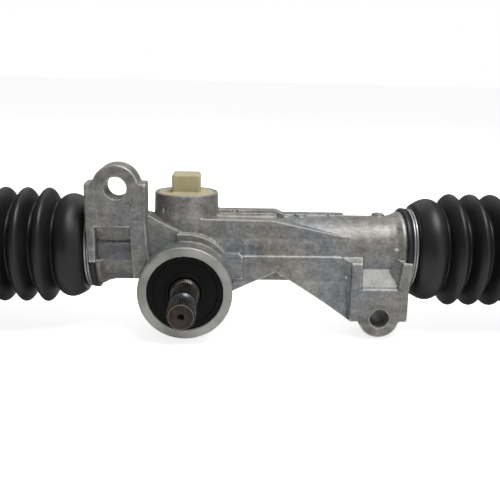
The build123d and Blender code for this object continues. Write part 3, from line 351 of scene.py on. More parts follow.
@dataclass(frozen=True)
class Finish(ABC):
    """How a surface looks; each finish makes its material once."""

    name: str

    @abstractmethod
    def shade(self) -> Material:
        """Make the node material."""

    @cache
    def material(self) -> Material:
        """The finish's material, made on first use."""
        return self.shade()

    def stops(self, tones: Tones) -> list[tuple[float, Colour]]:
        """A ramp's stops, from positions and the names of the fields with their colours."""
        return [(position, linear(getattr(self, name))) for position, name in tones]

    def coat(self, constants: dict[str, float | Point], patterns: dict[str, Grain | float],
             tones: Tones, layers: Sequence[Layer], rough: tuple[str, float, float],
             relief: Sequence[tuple[str, float, float]]) -> Material:
        """Make a material from tables, in which colours go by the names of the finish's fields.

        Args:
            constants: values that are the same all over, by socket.
            patterns: noises, or scales of scattered points, by name; the first carries the tones.
            tones: positions along the first pattern and the colours there; one is the colour all over.
            layers: colours laid over that, in order.
            rough: pattern that spreads the roughness, its least and its greatest value.
            relief: pattern, strength and depth in millimetres of each set of bumps.

        Returns:
            The material.
        """
        shader = Shader(self.name, constants)
        # above a half on convex edges, below it in hollows
        sources = {"convexity": add_node(shader.tree, "ShaderNodeNewGeometry").outputs["Pointiness"]}
        for name, pattern in patterns.items():
            sources[name] = shader.noise(pattern) if isinstance(pattern, Grain) else shader.cells(pattern)
        stops = self.stops(tones)
        colour = ramp(shader.tree, sources[next(iter(patterns))], stops) if len(stops) > 1 else stops[0][1]
        for layer in layers:
            amount = shader.span(sources[layer.pattern], layer.none, layer.full, 0.0, layer.amount)
            colour = shader.mix(amount, colour, linear(getattr(self, layer.colour)))
        shader.colour(colour)
        shader.roughness(sources[rough[0]], *rough[1:])
        shader.bump(*((sources[name], strength, depth) for name, strength, depth in relief))
        return shader.material


@dataclass(frozen=True)
class DieCast(Finish):
    """Pressure die-cast aluminium, tumbled: mottled grey with flow marks and specks, painted shade in hollows
    and a painted highlight on convex edges.
    """

    # dark specks, and the painted shade in hollows
    deep: str = "504E4B"
    dark: str = "706E6A"
    middle: str = "888681"
    pale: str = "A3A19C"
    cool: str = "7B8592"
    warm: str = "877F74"
    frost: str = "B4B2AD"
    # colour of the painted highlight on convex edges
    edge: str = "DCDCD8"
    pit: str = "2B2927"

    def shade(self) -> Material:
        return self.coat(
            {"Metallic": 0.45, "Specular IOR Level": 0.45},
            patterns={
                "patches": Grain(40.0, 6.0, 0.66),
                "tint": Grain(17.0),
                "stain": Grain(23.0),
                "mottle": Grain(190.0, 6.0, 0.7),
                "flow": Grain(150.0, 4.0, 0.6, Projection.ALONG_X),
                "grit": Grain(700.0, 3.0, 0.6),
                "pores": 70.0,
            },
            tones=((0.36, "dark"), (0.46, "middle"), (0.54, "middle"), (0.66, "pale")),
            layers=(
                Layer("tint", 0.48, 0.62, 0.6, "cool"),
                Layer("stain", 0.52, 0.66, 0.6, "warm"),
                Layer("mottle", 0.50, 0.38, 0.42, "deep"),
                Layer("mottle", 0.52, 0.64, 0.4, "frost"),
                Layer("flow", 0.54, 0.68, 0.4, "frost"),
                Layer("grit", 0.52, 0.64, 0.32, "deep"),
                Layer("grit", 0.45, 0.35, 0.28, "frost"),
                Layer("pores", 0.045, 0.02, 1.0, "pit"),
                # painted shade in hollows
                Layer("convexity", 0.485, 0.43, 1.0, "deep"),
                # painted highlight on convex edges
                Layer("convexity", 0.515, 0.56, 1.0, "edge"),
            ),
            rough=("mottle", 0.36, 0.58),
            relief=(("mottle", 0.35, 0.25), ("grit", 0.45, 0.12)),
        )


@dataclass(frozen=True)
class Turned(Finish):
    """Machined metal with fine tool marks in one direction."""

    pale: str
    dark: str
    along: Projection
    rough: float = 0.35
    metal: float = 0.9

    def shade(self) -> Material:
        return self.coat(
            {"Metallic": self.metal},
            patterns={"marks": Grain(1400.0, 2.0, 0.5, self.along), "smudges": Grain(70.0, 5.0, 0.6)},
            tones=((0.35, "dark"), (0.65, "pale")),
            layers=(Layer("smudges", 0.5, 0.7, 0.5, "dark"),),
            rough=("smudges", self.rough * 0.8, self.rough * 1.4),
            relief=(("marks", 0.3, 0.05),),
        )


@dataclass(frozen=True)
class DarkSteel(Finish):
    """Oiled, hardened steel: brown-black, with painted shade in the roots between the serrations, and bright
    on their tips, partly worn and partly painted highlight.

    The rim is a ring of radii round the end's chamfer. The places across a tooth, from its flank
    on, are in depths of a tooth, outwards from its tip.
    """

    # colour of the painted shade in the tooth roots
    gap: str = "171413"
    base: str = "2C2725"
    brown: str = "423A36"
    # tip colour: partly wear, partly painted highlight
    bright: str = "D2CDC8"
    # colour of the painted sheen in the clamp groove
    cool: str = "4E5658"
    rim: str = "9A948E"
    axis_x: float = 0.0
    axis_z: float = 0.0
    tip_radius: float = 6.1 * MM
    depth: float = 0.6 * MM
    clamp_groove: Pair = (-30.2 * MM, -22.6 * MM)
    rim_rise: Pair = (5.16 * MM, 5.26 * MM)
    rim_fall: Pair = (5.36 * MM, 5.42 * MM)
    flank: Pair = (-1.02, -0.55)
    groove_floor: Pair = (-1.35, -1.15)
    tip_rise: Pair = (-0.22, -0.04)
    tip_fall: Pair = (0.05, 0.12)
    mottle: Grain = Grain(300.0, 5.0, 0.65)
    tones: Tones = ((0.36, "base"), (0.62, "brown"))
    rough: Pair = (0.24, 0.46)
    # where the painted sheen in the clamp groove ends, in half widths of it
    groove_end: Pair = (0.96, 1.02)
    # patches where the tips show wear and painted highlight
    wear: Grain = Grain(420.0)
    wear_range: Pair = (0.34, 0.52)
    wear_amount: float = 0.9
    skin: Grain = Grain(1500.0)
    skin_relief: Pair = (0.2, 0.05)

    def across(self, places: Pair) -> Pair:
        """Radii of two places across a tooth."""
        return (self.tip_radius + places[0] * self.depth, self.tip_radius + places[1] * self.depth)

    def in_clamp_groove(self, shader: Shader) -> Socket:
        """One in the groove for the clamp's bolt, nought elsewhere."""
        along = add_node(shader.tree, "ShaderNodeSeparateXYZ", links={0: shader.place}).outputs["Y"]
        centre = sum(self.clamp_groove) / 2
        half = self.clamp_groove[1] - centre
        away = shader.maths("ABSOLUTE", shader.maths("SUBTRACT", along, centre))
        return shader.span(away, half * self.groove_end[0], half * self.groove_end[1], 1.0, 0.0)

    def shade(self) -> Material:
        shader = Shader(self.name, {"Metallic": 0.7, "Specular IOR Level": 0.5})
        mottle = shader.noise(self.mottle)
        body = ramp(shader.tree, mottle, self.stops(self.tones))
        moved = add_node(shader.tree, "ShaderNodeMapping",
                         {"Location": (-self.axis_x, 0.0, -self.axis_z), "Scale": (1.0, 0.0, 1.0)},
                         {"Vector": shader.place})
        radius = add_node(shader.tree, "ShaderNodeVectorMath", {"operation": "LENGTH"},
                          {0: moved.outputs["Vector"]}).outputs["Value"]
        # painted shade: the gap colour in the tooth roots, between the groove floor and the flank
        outside_roots = shader.maths("MAXIMUM", shader.span(radius, *self.across(self.flank)),
                            shader.span(radius, *self.across(self.groove_floor), 1.0, 0.0))
        cut = shader.mix(outside_roots, linear(self.gap), body)
        # a cool grey painted over the clamp groove as its sheen
        with_groove_sheen = shader.mix(self.in_clamp_groove(shader), cut, linear(self.cool))
        rimmed = shader.mix(shader.band(radius, self.rim_rise, self.rim_fall), with_groove_sheen, linear(self.rim))
        # the bright tips: partly wear, partly painted highlight, in patches
        on_tips = shader.band(radius, self.across(self.tip_rise), self.across(self.tip_fall))
        patchy = shader.span(shader.noise(self.wear), *self.wear_range, 0.0, self.wear_amount)
        lit_and_worn_tips = shader.maths("MULTIPLY", on_tips, patchy)
        shader.colour(shader.mix(lit_and_worn_tips, rimmed, linear(self.bright)))
        shader.roughness(mottle, *self.rough)
        shader.bump((shader.noise(self.skin), *self.skin_relief))
        return shader.material


@dataclass(frozen=True)
class Rubber(Finish):
    """Moulded rubber with a satin skin, faint mould lines and a little dust in patches."""

    base: str
    dust: str
    rough: float = 0.34
    around: Projection = Projection.AROUND_X
    shine: float = 0.42

    def shade(self) -> Material:
        return self.coat(
            {"Specular IOR Level": self.shine},
            patterns={"haze": Grain(45.0, 4.0, 0.6), "lines": Grain(260.0, 3.0, 0.5, self.around),
                      "skin": Grain(1800.0, 2.0)},
            tones=((0.0, "base"),),
            layers=(Layer("haze", 0.45, 0.75, 0.8, "dust"), Layer("lines", 0.58, 0.72, 0.25, "dust")),
            rough=("haze", self.rough, self.rough + 0.14),
            relief=(("skin", 0.12, 0.08), ("lines", 0.08, 0.1)),
        )


@dataclass(frozen=True)
class Nylon(Finish):
    """Natural nylon or acetal: ivory and waxy, with cloudy patches and paler convex edges."""

    base: str
    tint: str
    pale: str
    glow: float = 0.06

    def shade(self) -> Material:
        return self.coat(
            {"Subsurface Weight": self.glow, "Subsurface Scale": 1.0 * MM,
             "Subsurface Radius": (1.0, 0.9, 0.6), "Specular IOR Level": 0.45},
            patterns={"clouds": Grain(110.0, 5.0, 0.6), "skin": Grain(900.0, 2.0)},
            tones=((0.0, "base"),),
            layers=(Layer("clouds", 0.40, 0.62, 1.0, "tint"), Layer("convexity", 0.53, 0.60, 1.0, "pale")),
            rough=("clouds", 0.36, 0.52),
            relief=(("skin", 0.12, 0.1),),
        )


@dataclass(frozen=True)
class Plated(Finish):
    """Zinc-plated or phosphated steel: even, with a faint cloudy bloom."""

    base: str
    bloom: str
    rough: float = 0.3

    def shade(self) -> Material:
        return self.coat(
            {"Metallic": 0.9},
            patterns={"clouds": Grain(170.0, 4.0, 0.6), "skin": Grain(1300.0, 2.0)},
            tones=((0.0, "base"),),
            layers=(Layer("clouds", 0.42, 0.7, 1.0, "bloom"),),
            rough=("clouds", self.rough, self.rough + 0.2),
            relief=(("skin", 0.15, 0.06),),
        )


# aluminium ADC12, die-cast and tumbled, then a lit copy with painted light for faces that look up, then a
# shaded copy with painted shade for a pocket
CAST = DieCast("die_cast_adc12")
# painted light: the casting made paler for faces that look up
PAINTED_LIT_CAST = DieCast("die_cast_adc12_bright", deep="8C8A85", dark="A3A19B", middle="BDBBB5", pale="CFCDC7",
                      cool="B4B6B6", warm="BDB8AE", pit="8C8A85")
# painted shade: the casting made darker for the pocket under the upper lug's pad
PAINTED_SHADE_CAST = DieCast("die_cast_adc12_dull", deep="4C4A4A", dark="626061", middle="757476", pale="878688",
                    cool="6E7280", warm="76706A", frost="929296")
# the same alloy, machined
FACE = Turned("turned_adc12", "B4B3AE", "93928D", Projection.AROUND_Y, 0.40, 0.5)
# steels: hardened 42CrMo4, ground C45, hardened 100Cr6, phosphated spring C67 and phosphated forging
SHAFT = DarkSteel("oiled_42crmo4", axis_x=LAYOUT.pinion_x, axis_z=LAYOUT.pinion_z)
GROUND = Turned("ground_c45", "B9BABB", "8E9093", Projection.AROUND_X, 0.22)
BEARING = Turned("bearing_100cr6", "A9ABAD", "7F8285", Projection.AROUND_Y, 0.2)
SPRING = Plated("spring_steel_c67", "6B6A68", "8A8784", 0.35)
FORGED = Plated("phosphated_forging", "4B4B4A", "63625F", 0.45)
# galvanised wire and zinc-plated carbon steel
ZINC_WIRE = Plated("galvanised_wire", "BDBFC1", "8E9193", 0.3)
ZINC = Plated("zinc_plated_steel", "B4B4AC", "8F9089", 0.32)
# bronze with a PTFE lining
BRONZE = Turned("tin_bronze", "B08D57", "86693E", Projection.AROUND_X, 0.35)
# nitrile and chloroprene rubber
SEAL = Rubber("nitrile_nbr", "1A1B1B", "1F2021", 0.34, Projection.AROUND_Y, 0.06)
BOOT = Rubber("chloroprene_cr", "171718", "232325", 0.34)
# unfilled nylon 66 and acetal
NYLON = Nylon("natural_pa66", "BFB48C", "AEA887", "DBD6BA")
ACETAL = Nylon("acetal_pom", "D9D6C8", "C9C5B4", "E6E3D8", 0.05)


# ------------------------ modelling helpers


WELD = 0.01 * MM                            # vertices nearer than this become one


def alone(obj: Object) -> None:
    """Select and activate one object, and nothing else."""
    bpy.ops.object.select_all(action="DESELECT")
    obj.select_set(True)
    bpy.context.view_layer.objects.active = obj


def edit(obj: Object, *steps: Callable[[], object]) -> None:
    """Run edit-mode steps on an object, with everything selected before the first."""
    alone(obj)
    bpy.ops.object.mode_set(mode="EDIT")
    bpy.ops.mesh.select_all(action="SELECT")
    for step in steps:
        step()
    bpy.ops.object.mode_set(mode="OBJECT")


def modify(obj: Object, kind: str, **settings: object) -> None:
    """Add a modifier of a type, with its settings by name, and apply it."""
    alone(obj)
    modifier = obj.modifiers.new(kind.lower(), kind)
    for key, value in settings.items():
        setattr(modifier, key, value)
    bpy.ops.object.modifier_apply(modifier=modifier.name)


def smooth(obj: Object, crease: float) -> None:
    """Shade an object smooth, with a crease where faces meet at this angle in degrees or more."""
    alone(obj)
    bpy.ops.object.shade_smooth_by_angle(angle=math.radians(crease))


def soften(obj: Object, voxel: float, relax: int, keep: float) -> None:
    """Round a piece's edges a little, as a mould does.

    Args:
        obj: the piece.
        voxel: size of the voxels that it is made again from.
        relax: rounds of smoothing.
        keep: share of the faces that are kept.
    """
    modify(obj, "REMESH", mode="VOXEL", voxel_size=voxel, adaptivity=0.0)
    modify(obj, "SMOOTH", factor=0.5, iterations=relax)
    modify(obj, "DECIMATE", ratio=keep)


def copy_of(node: str, name: str) -> Object:
    """Copy a CAD node's mesh into an object of its own and join its doubled vertices.

    Args:
        node: the node's name.
        name: the new object's name.

    Returns:
        The copy, at the origin.
    """
    source = frame["nodes"][node]
    alone(source)
    obj = source.copy()
    obj.data = source.data.copy()
    obj.name = name
    obj.parent = None
    obj.matrix_world = Matrix.Identity(4)
    bpy.context.scene.collection.objects.link(obj)
    edit(obj, lambda: bpy.ops.mesh.remove_doubles(threshold=WELD / 5))
    return obj


def line_of_points(name: str, points: Sequence[Point]) -> Object:
    """Draw a wire by extruding a single vertex from point to point.

    Args:
        name: the object's name.
        points: where the vertex goes.

    Returns:
        The wire, with the object's own origin at the frame's.
    """
    bpy.ops.mesh.primitive_plane_add(size=0.1 * MM, location=(0, 0, 0))
    obj = bpy.context.object
    obj.name = name
    edit(obj, lambda: bpy.ops.mesh.merge(type="CENTER"),
         lambda: bpy.ops.transform.translate(value=points[0]))

    def extrude() -> None:
        for start, stop in zip(points, points[1:]):
            move = tuple(b - a for a, b in zip(start, stop))
            bpy.ops.mesh.extrude_region_move(TRANSFORM_OT_translate={"value": move})

    edit(obj, extrude)
    return obj


def spun(name: str, side: Side, profile: Profile, steps: int = 96) -> Object:
    """Spin a profile round the rack's axis.

    Args:
        name: the object's name.
        side: which end of the rack.
        profile: distances from the housing's middle and radii.
        steps: faces round the axis.

    Returns:
        The closed, smooth-shaded surface.
    """
    points = [(LAYOUT.outwards(side, d), LAYOUT.rack_y, LAYOUT.rack_z + r) for d, r in profile]
    obj = line_of_points(name, points)
    centre = (0.0, LAYOUT.rack_y, LAYOUT.rack_z)
    edit(obj, lambda: bpy.ops.mesh.spin(steps=steps, angle=math.tau, center=centre, axis=(1, 0, 0)),
         lambda: bpy.ops.mesh.select_all(action="SELECT"),
         lambda: bpy.ops.mesh.remove_doubles(threshold=WELD / 2),
         lambda: bpy.ops.mesh.normals_make_consistent(inside=False))
    alone(obj)
    bpy.ops.object.shade_smooth()
    return obj


def dress(obj: Object, *finishes: Finish) -> Object:
    """Give an object its finishes.

    Args:
        obj: the object.
        *finishes: the one that it has all over, then any that single faces get later.

    Returns:
        The same object.
    """
    obj.data.materials.clear()
    for finish in finishes:
        obj.data.materials.append(finish.material())
    return obj


class SubAssembly(ABC):
    """A group of pieces that are modelled together."""

    @abstractmethod
    def build(self) -> list[Object]:
        """Model, dress and mount the pieces."""

    def report(self) -> None:
        """Build the group and log each of its pieces."""
        for piece in self.build():
            size = [(max(axis) - min(axis)) / MM for axis in zip(*(v.co for v in piece.data.vertices))]
            log.info("%-22s %6d faces  %6.1f x %5.1f x %5.1f mm", piece.name, len(piece.data.polygons), *size)


# ------------------------ sub-assemblies


@dataclass(frozen=True)
class BareNodes(SubAssembly):
    """CAD nodes whose shape is right, each with its own finish."""

    finishes: tuple[tuple[Finish, tuple[str, ...]], ...] = (
        (SHAFT, ("pinion_shaft",)),
        (GROUND, ("rack_bar",)),
        (BEARING, ("pinion_bearing_outer_ring", "pinion_bearing_inner_ring", "pinion_bearing_balls")),
        (BRONZE, ("pinion_bearing_cage", "guide_liner", "pinion_rear_bush")),
        (SPRING, ("bearing_circlip", "bush_snap_ring", "guide_spring")),
        (SEAL, ("pinion_seal", "guide_o_ring", "left_bump_stop", "right_bump_stop")),
        (ACETAL, ("rack_bush", "left_ball_seat", "right_ball_seat")),
        (FORGED, ("left_ball_socket", "right_ball_socket")),
        (ZINC, ("pinion_rear_cap", "left_lock_washer", "right_lock_washer", "left_lock_nut", "right_lock_nut",
                "left_boot_clip", "right_boot_clip")),
        (FACE, ("rack_guide",)),
    )

    def build(self) -> list[Object]:
        dressed = []
        for finish, names in self.finishes:
            for name in names:
                obj = frame["nodes"][name]
                for slot in obj.material_slots:
                    slot.material = finish.material()
                dressed.append(obj)
        return dressed


@dataclass(frozen=True)
class Block:
    """A box between two corners, turned about x through its middle by a tilt in degrees.

    The corners are in millimetres from where the pinion's plane crosses the rack's axis.
    """

    low: Point
    high: Point
    tilt: float = 0.0


@dataclass(frozen=True)
class Skin:
    """A finish of painted light, lit or shaded, for the faces within a block that look one way, give or take:
    the least cosine.
    """

    finish: Finish
    within: Block
    way: Point
    least: float


@dataclass(frozen=True)
class Casting(SubAssembly):
    """The housing, with the soft edges and skin of a casting and its machined faces."""

    voxel: float = 0.45 * MM
    relax: int = 1
    keep: float = 0.36
    crease: float = 28.0
    # the pinion housing's turned face and the bore behind it
    body_radius: float = 21.8 * MM
    bore_share: float = 0.83
    bore_depth: float = 22.0 * MM
    face_depth: float = 0.5 * MM
    face_cosine: float = 0.92
    # low relief: ledges on the block and the tube, the web's parting line, the lip on the upper lug's pad
    # and three steps that run the block beside the pinion out into the tube
    strips: tuple[Block, ...] = (
        Block((14.0, -7.7, 15.0), (42.5, -2.0, 17.15)),
        Block((42.0, -1.2, 14.5), (76.0, 5.0, 17.0)),
        Block((26.8, -17.1, -1.2), (73.0, -14.5, -0.5)),
        Block((-41.8, -21.4, 13.3), (-25.6, -19.8, 13.9)),
        Block((12.0, -18.15, -0.8), (26.1, -14.0, -0.1)),
        Block((12.0, -17.85, -0.8), (25.5, -14.0, 0.5)),
        Block((12.0, -17.5, -0.8), (24.8, -14.0, 1.2)),
    )
    # the pocket under the pad, its sloping floor first, and two notches in the rib on the block
    notches: tuple[Block, ...] = (
        Block((-41.0, -23.14, 3.58), (-25.7, -17.14, 12.82), 35.8),
        Block((21.4, -4.0, 17.5), (24.3, -1.4, 18.9)),
        Block((26.9, -4.0, 17.7), (27.8, -1.4, 18.9)),
        Block((-41.0, -24.0, -2.6), (-25.7, -16.3, 6.3)),
    )
    boss: Point = (54.3, -0.8, 15.6)
    boss_radius: float = 2.5 * MM
    boss_height: float = 3.0 * MM
    # painted light on the floor of the lower lug's window, which looks up, then painted shade on the pocket's
    # floor and its wall
    skins: tuple[Skin, ...] = (
        Skin(PAINTED_LIT_CAST, Block((80.0, -19.6, -18.5), (103.0, -8.0, -4.0)), (0.0, 0.0, 1.0), 0.3),
        Skin(PAINTED_SHADE_CAST, Block((-41.2, -17.2, -3.2), (-25.4, -15.6, 6.6)), (0.0, -1.0, 0.0), 0.7),
        Skin(PAINTED_SHADE_CAST, Block((-41.8, -20.6, -3.4), (-40.2, -14.8, 13.2)), (1.0, 0.0, 0.0), 0.5),
    )

    def build(self) -> list[Object]:
        obj = copy_of("housing", "housing_casting")
        for notch in self.notches:
            cutter = self.box(notch)
            modify(obj, "BOOLEAN", operation="DIFFERENCE", object=cutter, solver="EXACT")
            bpy.data.objects.remove(cutter)
        for strip in self.strips:
            self.join(obj, self.box(strip))
        bpy.ops.mesh.primitive_cylinder_add(radius=self.boss_radius, depth=self.boss_height,
                                            location=self.place(self.boss))
        self.join(obj, bpy.context.object)
        soften(obj, self.voxel, self.relax, self.keep)
        dress(obj, CAST, FACE, *(skin.finish for skin in self.skins))
        self.mark_machined(obj, 1)
        # faces under painted light, lit or shaded, get the finishes after the turned one
        for index, skin in enumerate(self.skins, start=2):
            self.mark_skin(obj, skin, index)
        smooth(obj, self.crease)
        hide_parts("housing")
        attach(obj, "housing")
        return [obj]

    def place(self, point: Point) -> Vector:
        """A place given in millimetres from where the pinion's plane crosses the rack's axis."""
        return Vector(point) * MM + Vector((LAYOUT.pinion_x, LAYOUT.rack_y, LAYOUT.rack_z))

    def box(self, block: Block) -> Object:
        """Model a block."""
        low, high = self.place(block.low), self.place(block.high)
        bpy.ops.mesh.primitive_cube_add(size=1.0, location=(low + high) / 2,
                                        rotation=(math.radians(block.tilt), 0.0, 0.0))
        box = bpy.context.object
        box.scale = high - low
        bpy.ops.object.transform_apply(location=True, rotation=True, scale=True)
        return box

    def join(self, obj: Object, extra: Object) -> None:
        """Join another piece, which is used up, into the casting; the voxels make them one."""
        alone(obj)
        extra.select_set(True)
        bpy.ops.object.join()

    def mark_machined(self, obj: Object, index: int) -> None:
        """Give the pinion housing's turned face and the bearing bore the object's finish of this index."""
        def out(place: Vector) -> float:
            return math.hypot(place.x - LAYOUT.pinion_x, place.z - LAYOUT.pinion_z)

        front = min(v.co.y for v in obj.data.vertices if out(v.co) < self.body_radius)
        for face in obj.data.polygons:
            radius, depth = out(face.center), face.center.y - front
            in_bore = radius < self.body_radius * self.bore_share and depth < self.bore_depth
            on_face = face.normal.y < -self.face_cosine and depth < self.face_depth
            if radius < self.body_radius and (in_bore or on_face):
                face.material_index = index

    def mark_skin(self, obj: Object, skin: Skin, index: int) -> None:
        """Give the faces under a patch of painted light their finish, lit or shaded, which has this index
        among the object's.
        """
        low, high = self.place(skin.within.low), self.place(skin.within.high)
        for face in obj.data.polygons:
            inside = all(low[axis] < face.center[axis] < high[axis] for axis in range(3))
            if inside and face.normal.dot(Vector(skin.way)) > skin.least:
                face.material_index = index


@dataclass(frozen=True)
class Boot(SubAssembly):
    """A bellows in three lengths, which follow the rack, the ball joint and the rod."""

    side: Side
    cuff_start: float = 74.3 * MM
    cuff_radius: float = 18.6 * MM
    cuff_wall: float = 2.7 * MM
    lip: float = 1.6 * MM
    lip_width: float = 1.2 * MM
    lip_overlap: float = 1.6 * MM
    rim_clear: float = 18.7 * MM
    seat_play: float = 0.2 * MM
    seat_width: float = 2.8 * MM
    shoulder_radius: float = 22.6 * MM
    barrel_at: float = 86.0 * MM
    barrel_radius: float = 25.0 * MM
    barrel_steps: int = 8
    fall_power: float = 0.9
    first_valley: float = 92.3 * MM
    end: float = 234.0 * MM
    convolutions: int = 13
    peak: float = 27.5 * MM
    last_crown: float = 0.82
    valley: float = 19.6 * MM
    taper_length: float = 30.0 * MM
    small_end_length: float = 7.0 * MM
    small_end_radius: float = 9.0 * MM
    small_end_wall: float = 1.6 * MM
    steps_per_fold: int = 14
    seam_reaches: Pair = (10.0 * MM, 32.0 * MM)

    @property
    def pitch(self) -> float:
        """Length of one fold."""
        return (self.end - self.small_end_length - self.first_valley) / self.convolutions

    def valley_radius(self, distance: float) -> float:
        """Radius at the bottom of the folds, which tapers near the small end."""
        share = min(max((distance - (self.end - self.taper_length)) / self.taper_length, 0.0), 1.0)
        return self.valley + (self.small_end_radius - self.valley) * share

    @staticmethod
    def corner(along: float, radius: float, *offsets: Pair) -> Profile:
        """Round a corner of the profile.

        Args:
            along: the corner's distance from the housing's middle.
            radius: its radius.
            *offsets: each point's place from it in millimetres, along the rack and outwards.

        Returns:
            The points.
        """
        return [(along + far * MM, radius + out * MM) for far, out in offsets]

    def cuff(self) -> Profile:
        """The cuff with its two lips, and the smooth barrel up to the first valley."""
        seat = self.cuff_start + self.lip_width + self.seat_play
        seat_end = seat + self.seat_width
        top = self.cuff_radius + self.lip
        lip_end = self.cuff_start - self.lip_overlap
        rise = [(self.cuff_start, self.cuff_radius - self.cuff_wall), (self.cuff_start, self.rim_clear),
                (lip_end, self.rim_clear),
                *self.corner(lip_end, top, (0.0, -0.5), (0.2, -0.12), (0.6, 0.0)),
                *self.corner(seat, top, (-0.4, -0.15), (-0.1, -0.6)),
                *self.corner(seat, self.cuff_radius, (0.0, 0.25), (0.3, 0.0)),
                *self.corner(seat_end, self.cuff_radius, (-0.2, 0.0), (0.0, 0.3)),
                *self.corner(seat_end, self.shoulder_radius, (0.1, -1.4), (0.5, -0.5), (1.2, 0.0))]
        crown = rise[-1][0]
        fall = []
        for step in range(1, self.barrel_steps + 1):
            share = step / self.barrel_steps
            turn = share * math.pi / 2
            rise.append((crown + (self.barrel_at - crown) * share,
                         self.shoulder_radius + (self.barrel_radius - self.shoulder_radius) * math.sin(turn)))
            drop = (self.barrel_radius - self.valley) * (1 - math.cos(turn)) ** self.fall_power
            fall.append((self.barrel_at + (self.first_valley - self.barrel_at) * math.sin(turn),
                         self.barrel_radius - drop))
        return rise + fall

    def folds(self) -> list[Profile]:
        """The folds, one list of points each, without the point that a fold shares with the last."""
        folds = []
        for fold in range(self.convolutions):
            points = []
            for step in range(1, self.steps_per_fold + 1):
                share = step / self.steps_per_fold
                distance = self.first_valley + (fold + share) * self.pitch
                low = self.valley_radius(distance)
                crown = self.peak - low
                if fold == self.convolutions - 1:
                    crown *= self.last_crown
                points.append((distance, low + crown * math.sin(math.pi * share)))
            folds.append(points)
        return folds

    def small_end(self) -> Profile:
        """The small end that grips the rod."""
        radius = self.small_end_radius
        return [*self.corner(self.end - self.small_end_length, radius, (0.6, 0.0)),
                *self.corner(self.end, radius, (-1.0, 0.0), (-0.3, -0.3), (0.0, -0.8)),
                (self.end, radius - self.small_end_wall)]

    def build(self) -> list[Object]:
        word = self.side.word
        folds = self.folds()
        one, two = (min(range(self.convolutions),
                        key=lambda fold: abs(self.first_valley + fold * self.pitch - LAYOUT.ball_out - reach))
                    for reach in self.seam_reaches)
        lengths = [
            ("bellows", self.cuff() + sum(folds[:one], []), "housing", "rack"),
            ("bellows_joint", [folds[one - 1][-1]] + sum(folds[one:two], []), "rack", f"{word}_joint"),
            ("bellows_end", [folds[two - 1][-1]] + sum(folds[two:], []) + self.small_end(),
             f"{word}_joint", f"{word}_boot_end"),
        ]
        pieces = []
        for name, profile, near, far in lengths:
            obj = dress(spun(f"{word}_{name}", self.side, profile), BOOT)
            first, last = profile[0][0], profile[-1][0]
            if near == "housing":
                first = self.first_valley
            if far.endswith("boot_end"):
                last = self.end - self.small_end_length
            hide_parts(f"{word}_boot")
            self.follow(obj, near, far, first, last)
            pieces.append(obj)
        return pieces

    def follow(self, obj: Object, near: str, far: str, first: float, last: float) -> None:
        """Bend a length between two bodies, evenly along the rack, so that every fold opens alike.

        Args:
            obj: the length of bellows.
            near: body that the inner end follows.
            far: body that the outer end follows.
            first: distance from the middle where the bend starts.
            last: distance from the middle where it ends.
        """
        start = (LAYOUT.outwards(self.side, first), LAYOUT.rack_y, LAYOUT.rack_z)
        stop = (LAYOUT.outwards(self.side, last), LAYOUT.rack_y, LAYOUT.rack_z)
        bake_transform(obj, near, far, start=start, end=stop)
        weights = obj.data.attributes["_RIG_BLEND"]
        for vertex, weight in zip(obj.data.vertices, weights.data):
            share = (vertex.co.x - start[0]) / (stop[0] - start[0])
            weight.value = min(max(share, 0.0), 1.0)


@dataclass(frozen=True)
class WireClamp(SubAssembly):
    """Two turns of wire round a boot's cuff."""

    side: Side
    middle: float = 77.2 * MM
    coil_radius: float = 19.3 * MM
    wire_radius: float = 0.57 * MM
    roundness: int = 4
    turns: float = 2.0
    turn_pitch: float = 1.28 * MM
    first_angle: float = 200.0
    steps: int = 72

    def build(self) -> list[Object]:
        points = []
        total = int(self.steps * self.turns)
        for i in range(total + 1):
            angle = math.tau * i / self.steps + math.radians(self.first_angle)
            along = self.middle + (i / self.steps - self.turns / 2) * self.turn_pitch
            points.append((LAYOUT.outwards(self.side, along),
                           LAYOUT.rack_y + self.coil_radius * math.sin(angle),
                           LAYOUT.rack_z + self.coil_radius * math.cos(angle)))
        wire = line_of_points(f"{self.side.word}_wire_clamp", points)
        alone(wire)
        bpy.ops.object.convert(target="CURVE")
        wire.data.bevel_depth = self.wire_radius
        wire.data.bevel_resolution = self.roundness
        wire.data.use_fill_caps = True
        alone(wire)
        bpy.ops.object.convert(target="MESH")
        bpy.ops.object.shade_smooth()
        dress(wire, ZINC_WIRE)
        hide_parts(f"{self.side.word}_boot_clamp")
        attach(wire, "housing")
        return [wire]


